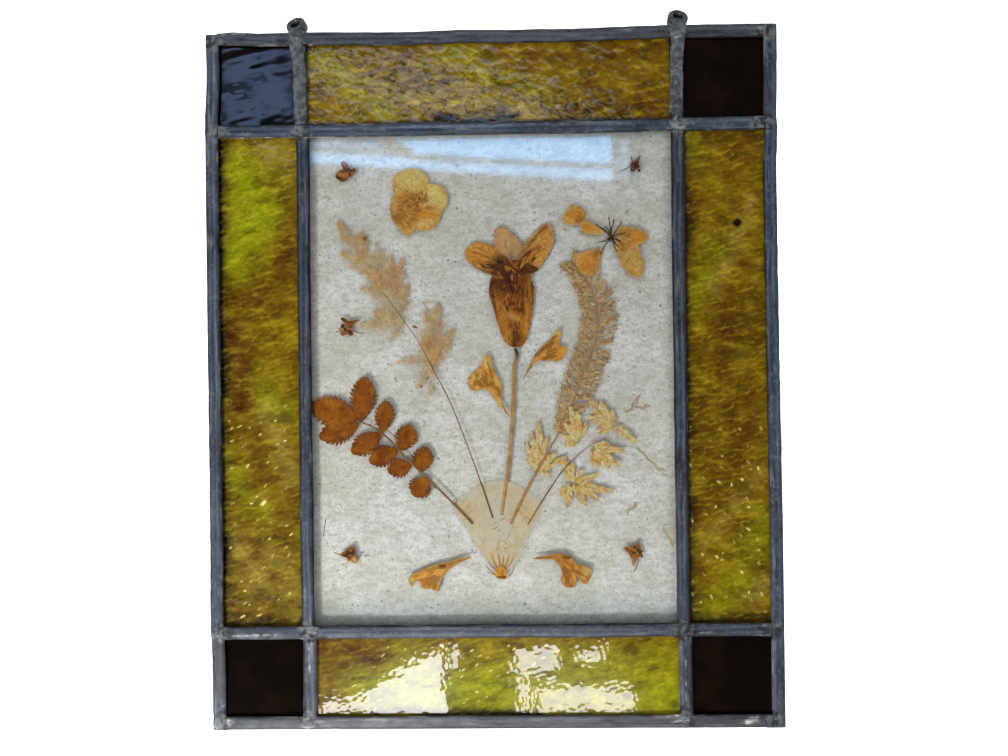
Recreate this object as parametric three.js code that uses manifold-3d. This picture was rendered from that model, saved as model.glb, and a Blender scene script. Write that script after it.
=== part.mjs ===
// A leaded glass panel with pressed flowers sealed between two panes, hung by two loops.
// All lengths are millimetres. Outlines are drawn in panel coordinates: X runs across from the
// centre line, Z rises from the bottom edge, the front faces -Y and the lead's mid plane is Y = 0.
import * as THREE from 'three';
import { mergeVertices } from 'three/addons/utils/BufferGeometryUtils.js';
import Module from 'manifold-3d';

const wasm = await Module();
wasm.setup();

// Driving dimensions
const panelEdges = { left: -140.3, right: 139 };
const panelHeight = 340;
const gap = 0.3; // clearance between pieces that touch
const lead = { depth: 8, flange: 0.8, roundOff: 0.3, wall: 1.4, borderWidth: 7, innerWidth: 6.6 };
const bite = 2.3; // how far glass reaches in under the lead
const crossHeights = { top: 292.3, bottom: 47.4 }; // centre lines of the two cross cames
const uprightCentres = {
  upper: { left: -93, right: 90.1 },
  middle: { left: -92.2, right: 90.5 },
  lower: { left: -91.6, right: 91.1 },
};
const solder = { bed: 3.8, crown: 1.1, cornerInset: 5.2 };
const loop = { left: -95, right: 91.5, eyeHeight: 344.1, ringRadius: 4.25, wireRadius: 1.25, stretch: 1.06 };
const strap = { middle: 331, reach: 10.5, width: 7.2, rise: 1.5 };

// Depth of each layer, from its front face to its back face
const layers = {
  borderGlass: [-1.5, 1.5],
  frontPane: [-3.0, -1.2],
  nearSpecimen: [-0.9, -0.6],
  farSpecimen: [-0.2, 0.1],
  backPane: [0.4, 2.2],
  backing: [2.5, 2.9],
};

const finishes = {
  lead: { color: 0x555a63, roughness: 0.5, metalness: 0.8 },
  patina: { color: 0x2b2b2c, roughness: 0.55, metalness: 0.6 },
  darkGlass: { color: 0x120806, roughness: 0.08, metalness: 0 },
  streakyGlass: { color: 0x7a6a12, roughness: 0.15, metalness: 0 },
  clearGlass: { color: 0xdfe6e4, roughness: 0.05, metalness: 0 },
  backing: { color: 0xc8cac5, roughness: 0.9, metalness: 0 },
  amber: { color: 0xb9802e, roughness: 0.8, metalness: 0 },
  umber: { color: 0x6e3c12, roughness: 0.8, metalness: 0 },
  leaf: { color: 0x8a4a08, roughness: 0.75, metalness: 0 },
  straw: { color: 0xc2a066, roughness: 0.85, metalness: 0 },
  tawny: { color: 0x9a6a3c, roughness: 0.85, metalness: 0 },
  ivory: { color: 0xcac2a0, roughness: 0.8, metalness: 0 },
};

// --- shaping helpers ---

function solid(geometry) {
  const bare = geometry.clone();
  bare.deleteAttribute('normal');
  bare.deleteAttribute('uv');
  const merged = mergeVertices(bare);
  const vertProperties = new Float32Array(merged.attributes.position.array);
  const triVerts = new Uint32Array(merged.index.array);
  return new wasm.Manifold(new wasm.Mesh({ numProp: 3, vertProperties, triVerts }));
}

function geometryOf(manifold) {
  const { vertProperties, triVerts } = manifold.getMesh();
  const geometry = new THREE.BufferGeometry();
  geometry.setAttribute('position', new THREE.Float32BufferAttribute(vertProperties, 3));
  geometry.setIndex(new THREE.Uint32BufferAttribute(triVerts, 1));
  geometry.computeVertexNormals();
  return geometry;
}

const fuse = (solids) => solids.reduce((whole, piece) => whole.add(piece));

function block([x0, x1], [y0, y1], [z0, z1]) {
  const box = new THREE.BoxGeometry(x1 - x0, y1 - y0, z1 - z0);
  return box.translate((x0 + x1) / 2, (y0 + y1) / 2, (z0 + z1) / 2);
}

function ellipsoid([x, y, z], [radiusX, radiusY, radiusZ], around = 8, rings = 4) {
  return new THREE.SphereGeometry(1, around, rings).scale(radiusX, radiusY, radiusZ).translate(x, y, z);
}

// A shape drawn in X and Z, made a slab between two depths
function slab(shape, [front, back]) {
  const geometry = new THREE.ExtrudeGeometry(shape, { depth: back - front, bevelEnabled: false });
  return geometry.rotateX(Math.PI / 2).translate(0, back, 0);
}

// A closed smooth outline through hand-picked points
function outline(points, perSpan = 2) {
  const loopCurve = new THREE.CatmullRomCurve3(points.map(([x, z]) => new THREE.Vector3(x, z)), true);
  const ring = loopCurve.getPoints(points.length * perSpan);
  return new THREE.Shape(ring.slice(0, -1).map((point) => new THREE.Vector2(point.x, point.y)));
}

// A flattened stem along a smooth route, tapering from one width to the other
function ribbon(points, startWidth, endWidth, perSpan = 1) {
  const route = new THREE.SplineCurve(points.map(([x, z]) => new THREE.Vector2(x, z)));
  const steps = perSpan * (points.length - 1);
  const nearSide = [];
  const farSide = [];
  for (let step = 0; step <= steps; step += 1) {
    const along = route.getTangent(step / steps);
    const centre = route.getPoint(step / steps);
    const half = THREE.MathUtils.lerp(startWidth, endWidth, step / steps) / 2;
    nearSide.push(new THREE.Vector2(centre.x - along.y * half, centre.y + along.x * half));
    farSide.unshift(new THREE.Vector2(centre.x + along.y * half, centre.y - along.x * half));
  }
  return new THREE.Shape([...nearSide, ...farSide]);
}

// A leaf blade from its base to its tip. Teeth stand out along both edges.
function blade([baseX, baseZ], [tipX, tipZ], width, teeth = 0) {
  const length = Math.hypot(tipX - baseX, tipZ - baseZ);
  const along = new THREE.Vector2(tipX - baseX, tipZ - baseZ).divideScalar(length);
  const base = new THREE.Vector2(baseX, baseZ);
  const steps = teeth ? teeth * 2 : 3;
  const notch = 0.82;
  const edge = (side) => {
    const points = [];
    for (let step = 1; step < steps; step += 1) {
      const share = step / steps;
      const swell = Math.sin(Math.PI * share ** 0.85) ** 0.65;
      const cut = teeth && step % 2 === 0 ? notch : 1;
      const out = side * (width / 2) * swell * cut;
      const forward = length * share;
      const x = base.x + along.x * forward - along.y * out;
      const z = base.y + along.y * forward + along.x * out;
      points.push(new THREE.Vector2(x, z));
    }
    return points;
  };
  return new THREE.Shape([base, ...edge(-1), new THREE.Vector2(tipX, tipZ), ...edge(1).reverse()]);
}

// --- lead ---

// One face of a came: flat along the middle and rounded off towards both edges
function cameFace(from, to, side) {
  const middle = (from + to) / 2;
  const half = (to - from) / 2;
  const top = lead.depth / 2;
  const shoulders = [[-1, top - lead.roundOff], [-0.45, top], [0.45, top], [1, top - lead.roundOff]];
  return shoulders.map(([share, height]) => [middle + share * half, side * height]);
}

function sectionFrom(points) {
  return new THREE.Shape(points.map(([x, y]) => new THREE.Vector2(x, y)));
}

function borderSection() {
  const room = lead.depth / 2 - lead.flange;
  const { borderWidth, wall } = lead;
  const channel = [[borderWidth, room], [wall, room], [wall, -room], [borderWidth, -room]];
  const backFace = cameFace(0, borderWidth, 1);
  const frontFace = cameFace(0, borderWidth, -1).reverse();
  return sectionFrom([...backFace, ...channel, ...frontFace]);
}

function innerSection() {
  const room = lead.depth / 2 - lead.flange;
  const half = lead.innerWidth / 2;
  const heart = lead.wall / 2;
  const rightChannel = [[half, room], [heart, room], [heart, -room], [half, -room]];
  const leftChannel = [[-half, -room], [-heart, -room], [-heart, room], [-half, room]];
  const backFace = cameFace(-half, half, 1);
  const frontFace = cameFace(-half, half, -1).reverse();
  return sectionFrom([...backFace, ...rightChannel, ...frontFace, ...leftChannel]);
}

function cameBar(section, length) {
  return new THREE.ExtrudeGeometry(section, { depth: length, bevelEnabled: false });
}

const innerHalf = lead.innerWidth / 2;
const inside = { left: panelEdges.left + lead.borderWidth, right: panelEdges.right - lead.borderWidth };
const rows = {
  upper: [crossHeights.top + innerHalf, panelHeight - lead.borderWidth],
  middle: [crossHeights.bottom + innerHalf, crossHeights.top - innerHalf],
  lower: [lead.borderWidth, crossHeights.bottom - innerHalf],
};

function cameBars() {
  const border = borderSection();
  const inner = innerSection();
  const crossStart = inside.left + gap;
  const crossLength = inside.right - gap - crossStart;
  const quarterTurn = Math.PI / 2;
  const bars = {
    border_came_left: cameBar(border, panelHeight).translate(panelEdges.left, 0, 0),
    border_came_right: cameBar(border, panelHeight).rotateZ(Math.PI).translate(panelEdges.right, 0, 0),
    border_came_top: cameBar(border, crossLength)
      .rotateY(quarterTurn).translate(crossStart, 0, panelHeight),
    border_came_bottom: cameBar(border, crossLength)
      .rotateY(-quarterTurn).translate(crossStart + crossLength, 0, 0),
  };
  for (const [level, height] of Object.entries(crossHeights)) {
    bars[`cross_came_${level}`] = cameBar(inner, crossLength)
      .rotateY(quarterTurn).translate(crossStart, 0, height);
  }
  for (const [row, [bottom, top]] of Object.entries(rows)) {
    for (const [side, centre] of Object.entries(uprightCentres[row])) {
      bars[`upright_came_${side}_${row}`] = cameBar(inner, top - bottom - 2 * gap)
        .translate(centre, 0, bottom + gap);
    }
  }
  return bars;
}

// Every soldered joint: where it is, how wide and high, which came carries it and on which faces
function solderJoints() {
  const front = -1;
  const back = 1;
  const joints = [];
  const ends = { top: panelHeight, bottom: 0 };
  for (const [end, edge] of Object.entries(ends)) {
    const inward = end === 'top' ? -1 : 1;
    const owner = `border_came_${end}`;
    const uprights = uprightCentres[end === 'top' ? 'upper' : 'lower'];
    for (const x of [panelEdges.left + solder.cornerInset, panelEdges.right - solder.cornerInset]) {
      joints.push({ owner, x, z: edge + inward * 3.7, width: 9, height: 7, faces: [front, back] });
    }
    for (const x of Object.values(uprights)) {
      const faces = end === 'top' ? [back] : [front, back];
      joints.push({ owner, x, z: edge + inward * 6.2, width: 8.6, height: 8, faces });
    }
  }
  for (const [level, z] of Object.entries(crossHeights)) {
    const owner = `cross_came_${level}`;
    const faces = [front, back];
    for (const x of [inside.left - 0.6, inside.right + 0.6]) {
      joints.push({ owner, x, z, width: 9, height: 8.6, faces });
    }
    for (const x of Object.values(uprightCentres.middle)) {
      joints.push({ owner, x, z, width: 10, height: 11, faces });
    }
  }
  return joints;
}

// A low dome of solder on one face of the lead. Grown, it is the room that a neighbour leaves for it.
function solderDome({ x, z, width, height }, face, growth = 0) {
  const radii = [width / 2 + growth, solder.crown + growth, height / 2 + growth];
  const bed = solder.bed - growth;
  const dome = solid(ellipsoid([x, face * solder.bed, z], radii));
  const reach = Math.max(width, height);
  return dome.subtract(solid(block([x - reach, x + reach], [-bed, bed], [z - reach, z + reach])));
}

function leadPieces() {
  const joints = solderJoints();
  const pieces = {};
  for (const [name, bar] of Object.entries(cameBars())) {
    let piece = solid(bar);
    for (const joint of joints) {
      for (const face of joint.faces) {
        const own = joint.owner === name;
        piece = own ? piece.add(solderDome(joint, face)) : piece.subtract(solderDome(joint, face, gap));
      }
    }
    pieces[name] = piece;
  }
  return pieces;
}

// A wire eye standing on the top border, with a solder strap that runs down the front of the lead
function hangingLoop(x) {
  const ring = new THREE.TorusGeometry(loop.ringRadius, loop.wireRadius, 6, 15);
  ring.rotateX(Math.PI / 2).scale(1, 1, loop.stretch).translate(x, 0, loop.eyeHeight);
  const strapBack = lead.depth / 2 + gap;
  const top = panelHeight + gap;
  const neck = ellipsoid([x, -1.8, top], [5.2, 4.3, 1.5], 12, 4);
  const tail = ellipsoid([x, -strapBack, strap.middle], [strap.width / 2, strap.rise, strap.reach], 8, 8);
  const leadRoom = block([x - 9, x + 9], [-strapBack, 9], [strap.middle - 15, top]);
  return fuse([solid(ring), solid(neck), solid(tail)]).subtract(solid(leadRoom));
}

// --- glass ---

function glassSheet([x0, x1], [z0, z1], depth) {
  return block([x0 - bite, x1 + bite], depth, [z0 - bite, z1 + bite]);
}

function opening(row, column) {
  const { left, right } = uprightCentres[row];
  const columns = {
    left: [inside.left, left - innerHalf],
    centre: [left + innerHalf, right - innerHalf],
    right: [right + innerHalf, inside.right],
  };
  return [columns[column], rows[row]];
}

// --- pressed specimens ---

const shapeOf = (drawn) => (drawn instanceof THREE.Shape ? drawn : outline(drawn));
const near = (drawn) => solid(slab(shapeOf(drawn), layers.nearSpecimen));
const far = (drawn) => solid(slab(shapeOf(drawn), layers.farSpecimen));

// The compound leaf: a stalk with a toothed end leaflet and toothed leaflets down both sides
function burnetLeaf() {
  const stalk = [
    [-69, 150.6], [-61.5, 148], [-56, 144.5], [-50, 139.3], [-43, 131], [-30, 118.7], [-11.2, 99.3],
  ];
  const leaflets = [
    { base: [-67.4, 150.8], tip: [-90.2, 158.2], width: 14.4, teeth: 6 },
    { base: [-66.5, 148.5], tip: [-86, 142.2], width: 11.5, teeth: 6 },
    { base: [-65.6, 149.6], tip: [-63.4, 171.8], width: 12, teeth: 7 },
    { base: [-55.4, 144], tip: [-70.3, 134.6], width: 10, teeth: 5 },
    { base: [-55, 144.2], tip: [-53, 159.8], width: 9.2, teeth: 5 },
    { base: [-47.5, 136], tip: [-61.6, 130], width: 9.8, teeth: 5 },
    { base: [-46, 135.2], tip: [-41.2, 147.8], width: 10.6, teeth: 4 },
    { base: [-40.6, 128.6], tip: [-52.6, 125.4], width: 8.4, teeth: 4 },
    { base: [-36.8, 124.4], tip: [-34.2, 137.2], width: 9.8, teeth: 4 },
    { base: [-33.4, 121.8], tip: [-40.2, 113.2], width: 11, teeth: 4 },
  ];
  const blades = leaflets.map(({ base, tip, width, teeth }) => near(blade(base, tip, width, teeth)));
  return fuse([near(ribbon(stalk, 0.7, 1.3)), ...blades]);
}

// The feathery grass: every tuft is one lens, from its base on the stem to its tip
const plumeTufts = {
  upper: [
    [[-57, 219], [-78, 250.5], 7], [[-57, 219], [-76, 234], 6.5], [[-57, 219], [-66, 244], 8],
    [[-56, 216], [-57, 238.5], 9], [[-51, 208], [-50, 232.5], 8], [[-48, 203], [-44.4, 231], 6.5],
    [[-53, 215], [-66.5, 215.4], 6], [[-47, 201], [-41.4, 217], 5], [[-44.5, 199], [-67, 196.8], 6.5],
    [[-44, 198], [-60, 204], 6], [[-44, 198.6], [-51.4, 190], 5], [[-57, 220], [-52, 197], 8],
  ],
  lower: [
    [[-32.5, 179], [-33.8, 210], 6], [[-31, 178.4], [-27, 208.6], 9], [[-30, 177], [-19, 196.5], 6],
    [[-31, 178.6], [-47.4, 179.4], 3.6], [[-30.8, 179], [-37.6, 165.6], 4.6],
    [[-30.6, 179], [-31.4, 161.6], 4], [[-31.4, 178], [-32.6, 194], 6],
  ],
};

function plumeHead(tufts) {
  return fuse(tufts.map(([base, tip, width]) => far(blade(base, tip, width))));
}

const plumeRoute = [
  [-54, 213], [-45, 200.4], [-38, 190.5], [-31, 177.2], [-22, 159.5], [-14, 139], [-7, 119], [-1.5, 102],
];
const plumeStem = ribbon(plumeRoute, 0.6, 0.9);

// The bell: a long cup that narrows to its stalk, with three lobes and a pointed sepal at its mouth
function bellFlower() {
  const cup = outline([
    [10.2, 185.6], [6, 188], [3.9, 192], [0.8, 203], [-1.6, 212], [-1.2, 218.5], [-0.3, 224],
    [4, 228.4], [10, 228.6], [16, 226.6], [18.4, 220], [19.7, 213], [18.6, 203], [16.6, 192], [14.4, 187],
  ]);
  const leftLobe = outline([[2, 221], [-5, 223.4], [-11, 228], [-12.6, 233], [-7, 236.4], [-1, 234], [4, 227]]);
  const middleLobe = outline([[1.6, 226], [1.9, 234], [2.8, 241.6], [9, 242.6], [16, 238], [15.4, 227]]);
  const rightLobe = outline([[11, 227], [18, 238], [25.4, 244.8], [28.6, 237.5], [25, 229], [17, 223]]);
  const sepal = blade([13, 226], [21.9, 223.4], 3);
  return fuse([cup, leftLobe, middleLobe, rightLobe, sepal].map(near));
}

const bellRoute = [
  [10.4, 184.8], [11.2, 182.6], [11.2, 180.4], [9.7, 175], [9.2, 160], [7.9, 142], [5.6, 122], [2.8, 106],
];
const bellStem = ribbon(bellRoute, 1.9, 1.6);

// Soft outlines of the flowers that are pressed flat as one piece
const bud = [
  [7.4, 151.2], [4.6, 156.8], [3, 160.6], [3.4, 165], [1.6, 170.4], [-1, 175.6], [-2, 180.2], [-4.2, 181.6],
  [-6, 177], [-8.6, 173.6], [-12.4, 170.6], [-11.6, 165.6], [-8, 164.6], [-4.4, 165.8], [0.4, 160],
  [3.6, 155.8],
];
const spurredOutlines = {
  upper: [
    [14, 169], [16.4, 174.6], [19, 179.4], [21, 183], [27, 188.6], [31.6, 193.8], [32.9, 191], [32, 186],
    [35.5, 184.8], [33.6, 179.6], [30.6, 178.2], [24, 179], [20, 177.4], [16, 172.4],
  ],
  left: [
    [-11.9, 83.1], [-17, 82.3], [-23, 80.4], [-29, 79.4], [-36, 76.6], [-42.8, 73.4], [-41, 69], [-38, 72],
    [-36.3, 68.4], [-32, 67.9], [-28.4, 66.8], [-27.9, 71.6], [-23.4, 77], [-18, 80.6],
  ],
  right: [
    [17.7, 82.2], [25, 83.3], [34.4, 83.5], [39, 79], [45.9, 76.4], [43.9, 70.3], [41.2, 70.8], [38.9, 73.6],
    [38.7, 68.6], [33.8, 68.5], [31.7, 71.6], [32.3, 75.4], [28.4, 81.4], [22.6, 81.9],
  ],
};
const blossomOutlines = {
  upper_left: [
    [-76.9, 270.6], [-75, 273.3], [-73, 273.8], [-74.2, 276.6], [-72.4, 277.9], [-70.5, 276], [-70, 273.7],
    [-67.6, 274.4], [-66.8, 272.4], [-70, 269.6], [-73, 267.4], [-75.8, 269],
  ],
  upper_right: [
    [67.9, 274.2], [69.6, 275.4], [72.6, 278], [71.8, 274.4], [72.5, 272.4], [70.2, 271.4], [68.6, 272.6],
  ],
  left: [
    [-75.2, 200.8], [-73, 201], [-70.8, 199.2], [-66, 200], [-68.6, 197.3], [-71, 196], [-68.8, 193.2],
    [-70.4, 191.9], [-72, 193], [-74.2, 191.9], [-75, 193.8], [-72.4, 195.8], [-73.2, 198],
  ],
  lower_left: [
    [-77, 84.6], [-73.6, 87], [-70.6, 88.9], [-68.8, 86.4], [-69, 84.6], [-67.4, 82.8], [-69.2, 80.3],
    [-73, 82.8],
  ],
  lower_right: [
    [62.4, 87], [66.4, 87.6], [69.8, 90], [70.6, 85.6], [71.7, 82.2], [69.4, 82.4], [66.8, 78.2],
    [65.2, 83.2],
  ],
};
// The round flower: four petals that overlap, so that neighbours lie at different depths
const roundPetals = {
  upper: far([[-37, 256], [-45, 259], [-48, 266], [-46.6, 270], [-39.6, 273.6], [-33, 270], [-32.4, 263]]),
  right: near([[-37.4, 257.4], [-34.6, 263.6], [-29, 265.2], [-23.4, 261.8], [-23, 256.6], [-27.6, 254.6]]),
  lower: far([[-36.6, 254.2], [-31, 253.6], [-25.8, 251.6], [-29, 245.4], [-35, 243.8], [-38.6, 246.4]]),
  left: near([[-38, 257], [-38.2, 246], [-41, 241.4], [-46, 245.4], [-49.2, 251.6], [-48.4, 264.6]]),
};

// The open flower: loose petals round a dark eye of stamens
const openPetals = [
  [[35.2, 246.8], [37.4, 251.6], [40.8, 253.8], [44.8, 253], [48.6, 249.4], [44, 245.8]],
  [[43.7, 245.4], [48, 246.1], [52, 243.2], [54.2, 241], [48.4, 240], [45.4, 240.9]],
  [[52.6, 231.3], [47, 231], [43, 228.2], [42.4, 224.4], [46.4, 221.4], [51.6, 223]],
  [[61.8, 241.4], [65, 243], [71, 241.4], [75.3, 238.6], [71.4, 235.4], [63.6, 236.6]],
  [[61, 235.4], [62.3, 228.4], [66, 222.4], [70.6, 219.3], [73, 223.6], [71, 231], [68.6, 235]],
];
const stamenRoutes = [
  [[58, 238.4], [56.6, 242], [57, 247.2]], [[58, 238.4], [59.8, 240.8], [62.6, 244.6]],
  [[58, 238.4], [54.4, 241.4]], [[58, 238.4], [61.2, 238.8]], [[58, 238.4], [60.6, 234.6]],
  [[58, 238.4], [56.2, 234.8], [53, 231.2]], [[58, 238.4], [55.4, 237.6], [52.6, 236.6]],
];

const openFlowerEye = () => fuse(stamenRoutes.map((route) => near(ribbon(route, 1.5, 0.7))));

// The foxtail: one thick spike of bristles, widest above its middle, saw-edged all round
function foxtailSpike() {
  const spine = new THREE.SplineCurve(
    [[32, 143], [36, 153], [41, 165], [44.6, 175], [49, 186], [51, 198], [49.4, 210], [44, 220], [38, 229.6]]
      .map(([x, z]) => new THREE.Vector2(x, z)),
  );
  const halfWidths = new THREE.SplineCurve(
    [[0, 2.4], [1, 7], [2, 9.2], [3, 9.4], [4, 9.6], [5, 9.8], [6, 7.6], [7, 6], [8, 3.6]]
      .map(([place, half]) => new THREE.Vector2(place, half)),
  );
  const bristles = 23;
  const lean = 2.4; // each bristle's tip leans this far up the spike
  const sides = [-1, 1].map((side) => {
    const points = [];
    for (let step = 1; step < 2 * bristles; step += 1) {
      const share = step / (2 * bristles);
      const along = spine.getTangent(share);
      const centre = spine.getPoint(share);
      const isTip = step % 2 === 1;
      const out = side * halfWidths.getPoint(share).y * (isTip ? 1 : 0.84);
      const up = isTip ? lean / 2 : -lean / 2;
      points.push(new THREE.Vector2(
        centre.x - along.y * out + along.x * up,
        centre.y + along.x * out + along.y * up,
      ));
    }
    return points;
  });
  const shape = new THREE.Shape([spine.getPoint(0), ...sides[0], spine.getPoint(1), ...sides[1].reverse()]);
  return far(shape);
}

const foxtailStem = ribbon([[31.6, 144], [26, 134.4], [20, 124], [14, 113], [7.4, 100]], 0.9, 1.7);

// The tan grass: each cluster is a fan of spikelets on one short axis
const spikeletRoute = [[15.5, 98.6], [24, 112], [32, 123.6], [37.5, 129.6], [44, 135], [50, 139.6]];
const spikeletClusters = {
  left: [
    [[21, 125], [16, 130], 2.4], [[21.4, 126], [15.2, 137.6], 2.8], [[21.4, 126.4], [17.6, 143], 2.8],
    [[21.4, 126.4], [21.6, 148.6], 3.4], [[21.4, 126.4], [25.6, 141], 2.6], [[21, 126], [29.6, 133.2], 3.2],
    [[20.6, 124.4], [28.4, 127.4], 2.6], [[20.4, 125], [26.4, 122.8], 2.2],
  ],
  upper: [
    [[40.6, 138.4], [33.4, 141.4], 2.8], [[41, 139], [34.4, 147.4], 3.2], [[41, 140], [37, 155.6], 3.6],
    [[41.4, 140.4], [40.6, 153], 3.2], [[41.4, 140], [44.6, 147.4], 2.8], [[41.6, 138.6], [35, 137.4], 2.4],
  ],
  upper_right: [
    [[58, 145], [46.2, 159.6], 6], [[57, 146], [52, 157.6], 4], [[58, 146], [56.8, 152.8], 3.4],
    [[58.6, 146], [46.6, 150.6], 5], [[58, 146.4], [68.2, 139], 4.4], [[57.6, 145.4], [51, 143.8], 2.8],
  ],
  middle_right: [
    [[47, 134.8], [49, 126.6], 3], [[47, 135], [55.6, 126], 3.4], [[47.2, 135.4], [60.8, 127], 3.6],
    [[47.4, 135.6], [63, 134.4], 3.8], [[47.6, 136], [55.4, 138], 3],
  ],
  lower_right: [
    [[37.8, 118.4], [33.4, 130], 4], [[36.4, 118.2], [37.6, 127.4], 3.4], [[36, 118.6], [32, 112.4], 3],
    [[36.4, 119], [35.2, 107.2], 3.2], [[37.8, 118.8], [44, 108], 3.2], [[38.6, 118.6], [42.2, 124.6], 3],
    [[38.6, 118.4], [50, 110.8], 3.4], [[38.8, 118.4], [49.4, 122.6], 3.8], [[38.8, 118], [57.4, 114.4], 4],
  ],
};

// The pale funnel at the foot of the spray, and its calyx of ribs round a dark base
const funnel = [
  [2.4, 76], [-4.4, 80.6], [-7.6, 86], [-13.5, 96.5], [-20.2, 108], [-14, 113], [-8, 117], [3, 119.2],
  [13, 115.6], [20.4, 109.8], [22.6, 106], [17.3, 97.5], [13, 88], [9.6, 80.6],
];

function funnelCalyx() {
  const foot = [2.4, 75.4];
  const ribTips = [[-5.4, 79], [-2.6, 84], [3.4, 84.6], [8.8, 84], [7.6, 77.4]];
  const base = [[0.2, 72.6], [-0.6, 75], [1.4, 78.4], [3.8, 77.6], [5, 74.6], [4.4, 72.2]];
  const ribs = ribTips.map((tip) => near(ribbon([foot, [(foot[0] + tip[0]) / 2, 77.4], tip], 1.6, 0.7)));
  return fuse([near(base), ...ribs]);
}

// --- assembly ---

const panel = new THREE.Group();
panel.position.set(-(loop.left + loop.right) / 2, 0, -loop.eyeHeight); // origin midway between the eyes

const materials = Object.fromEntries(
  Object.entries(finishes).map(([name, look]) => [name, new THREE.MeshStandardMaterial(look)]),
);

function add(name, finish, shape) {
  const geometry = shape instanceof THREE.BufferGeometry ? shape : geometryOf(shape);
  const mesh = new THREE.Mesh(geometry, materials[finish]);
  mesh.name = name;
  panel.add(mesh);
}

for (const [name, piece] of Object.entries(leadPieces())) add(name, 'lead', piece);
for (const side of ['left', 'right']) add(`hanging_loop_${side}`, 'patina', hangingLoop(loop[side]));

const corners = { top: 'upper', bottom: 'lower' };
for (const [end, row] of Object.entries(corners)) {
  for (const side of ['left', 'right']) {
    add(`corner_glass_${end}_${side}`, 'darkGlass', glassSheet(...opening(row, side), layers.borderGlass));
  }
  add(`border_glass_${end}`, 'streakyGlass', glassSheet(...opening(row, 'centre'), layers.borderGlass));
}
for (const side of ['left', 'right']) {
  add(`border_glass_${side}`, 'streakyGlass', glassSheet(...opening('middle', side), layers.borderGlass));
}
add('front_pane', 'clearGlass', glassSheet(...opening('middle', 'centre'), layers.frontPane));
add('back_pane', 'clearGlass', glassSheet(...opening('middle', 'centre'), layers.backPane));
add('backing_sheet', 'backing', glassSheet(...opening('middle', 'centre'), layers.backing));

add('funnel_flower', 'ivory', far(funnel));
add('funnel_calyx', 'umber', funnelCalyx());
add('burnet_leaf', 'leaf', burnetLeaf());
add('plume_stem', 'tawny', near(plumeStem));
for (const [place, tufts] of Object.entries(plumeTufts)) add(`plume_${place}`, 'straw', plumeHead(tufts));
add('bell_flower', 'amber', bellFlower());
add('bell_stem', 'tawny', near(bellStem));
add('side_bud', 'amber', near(bud));
for (const [place, points] of Object.entries(spurredOutlines)) {
  add(`spurred_flower_${place}`, 'amber', near(points));
}
for (const [place, points] of Object.entries(blossomOutlines)) {
  add(`blossom_${place}`, 'umber', near(points));
}
for (const [place, petal] of Object.entries(roundPetals)) {
  add(`round_flower_petal_${place}`, 'amber', petal);
}
openPetals.forEach((points, index) => add(`open_flower_petal_${index + 1}`, 'amber', near(points)));
add('open_flower_eye', 'umber', openFlowerEye());
add('foxtail_spike', 'tawny', foxtailSpike());
add('foxtail_stem', 'tawny', near(foxtailStem));
add('spikelet_stem', 'tawny', near(ribbon(spikeletRoute, 1.1, 0.7)));
for (const [place, spikelets] of Object.entries(spikeletClusters)) {
  const layer = place === 'left' || place === 'lower_right' ? far : near;
  const blades = spikelets.map(([base, tip, width]) => layer(blade(base, tip, width)));
  add(`spikelets_${place}`, 'straw', fuse(blades));
}

export default panel;
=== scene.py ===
# Leaded glass panel with pressed flowers between two panes, hung by two loops.
# Lengths are millimetres in panel coordinates until toFrame turns them into the frame's metres:
# x runs across from the centre line, z rises from the bottom edge, and the front faces -y.
import math

import bmesh
import bpy
import numpy as np
from mathutils import Matrix, Vector
from mathutils.geometry import delaunay_2d_cdt


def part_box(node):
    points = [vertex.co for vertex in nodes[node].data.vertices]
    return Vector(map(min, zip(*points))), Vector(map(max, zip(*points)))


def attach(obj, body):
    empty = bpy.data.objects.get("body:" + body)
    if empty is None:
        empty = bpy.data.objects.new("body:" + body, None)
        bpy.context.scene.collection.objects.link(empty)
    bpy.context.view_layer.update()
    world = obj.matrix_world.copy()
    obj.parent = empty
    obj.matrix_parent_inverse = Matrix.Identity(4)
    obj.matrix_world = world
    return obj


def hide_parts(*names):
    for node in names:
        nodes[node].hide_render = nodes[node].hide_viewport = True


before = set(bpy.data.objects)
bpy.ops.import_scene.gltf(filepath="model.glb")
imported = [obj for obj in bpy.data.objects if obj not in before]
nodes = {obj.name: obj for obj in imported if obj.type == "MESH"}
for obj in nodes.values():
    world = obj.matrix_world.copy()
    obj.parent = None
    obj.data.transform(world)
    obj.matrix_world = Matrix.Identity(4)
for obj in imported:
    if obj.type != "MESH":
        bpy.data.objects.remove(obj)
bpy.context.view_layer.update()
print("frame loaded:", len(nodes), "nodes")

panelShift = np.array([1.75, 0.0, -344.1])  # panel millimetres to the frame's origin between the loop eyes
depths = {
    "leadFace": -4.0, "stripFront": -1.5, "stripBack": 1.5, "paneFront": -3.0, "near": -0.75,
    "far": -0.05,
}


def toFrame(points):
    return (np.asarray(points, float) + panelShift) * 0.001


def gridNoise(x, z, size, seed):
    table = np.random.RandomState(seed).rand(64, 64)
    u = np.asarray(x, float) / size
    v = np.asarray(z, float) / size
    column = np.floor(u).astype(int)
    row = np.floor(v).astype(int)
    fu = u - column
    fv = v - row
    fu = fu * fu * (3 - 2 * fu)
    fv = fv * fv * (3 - 2 * fv)
    low = table[row % 64, column % 64] * (1 - fu) + table[row % 64, (column + 1) % 64] * fu
    high = table[(row + 1) % 64, column % 64] * (1 - fu) + table[(row + 1) % 64, (column + 1) % 64] * fu
    return (low * (1 - fv) + high * fv) * 2 - 1


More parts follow.
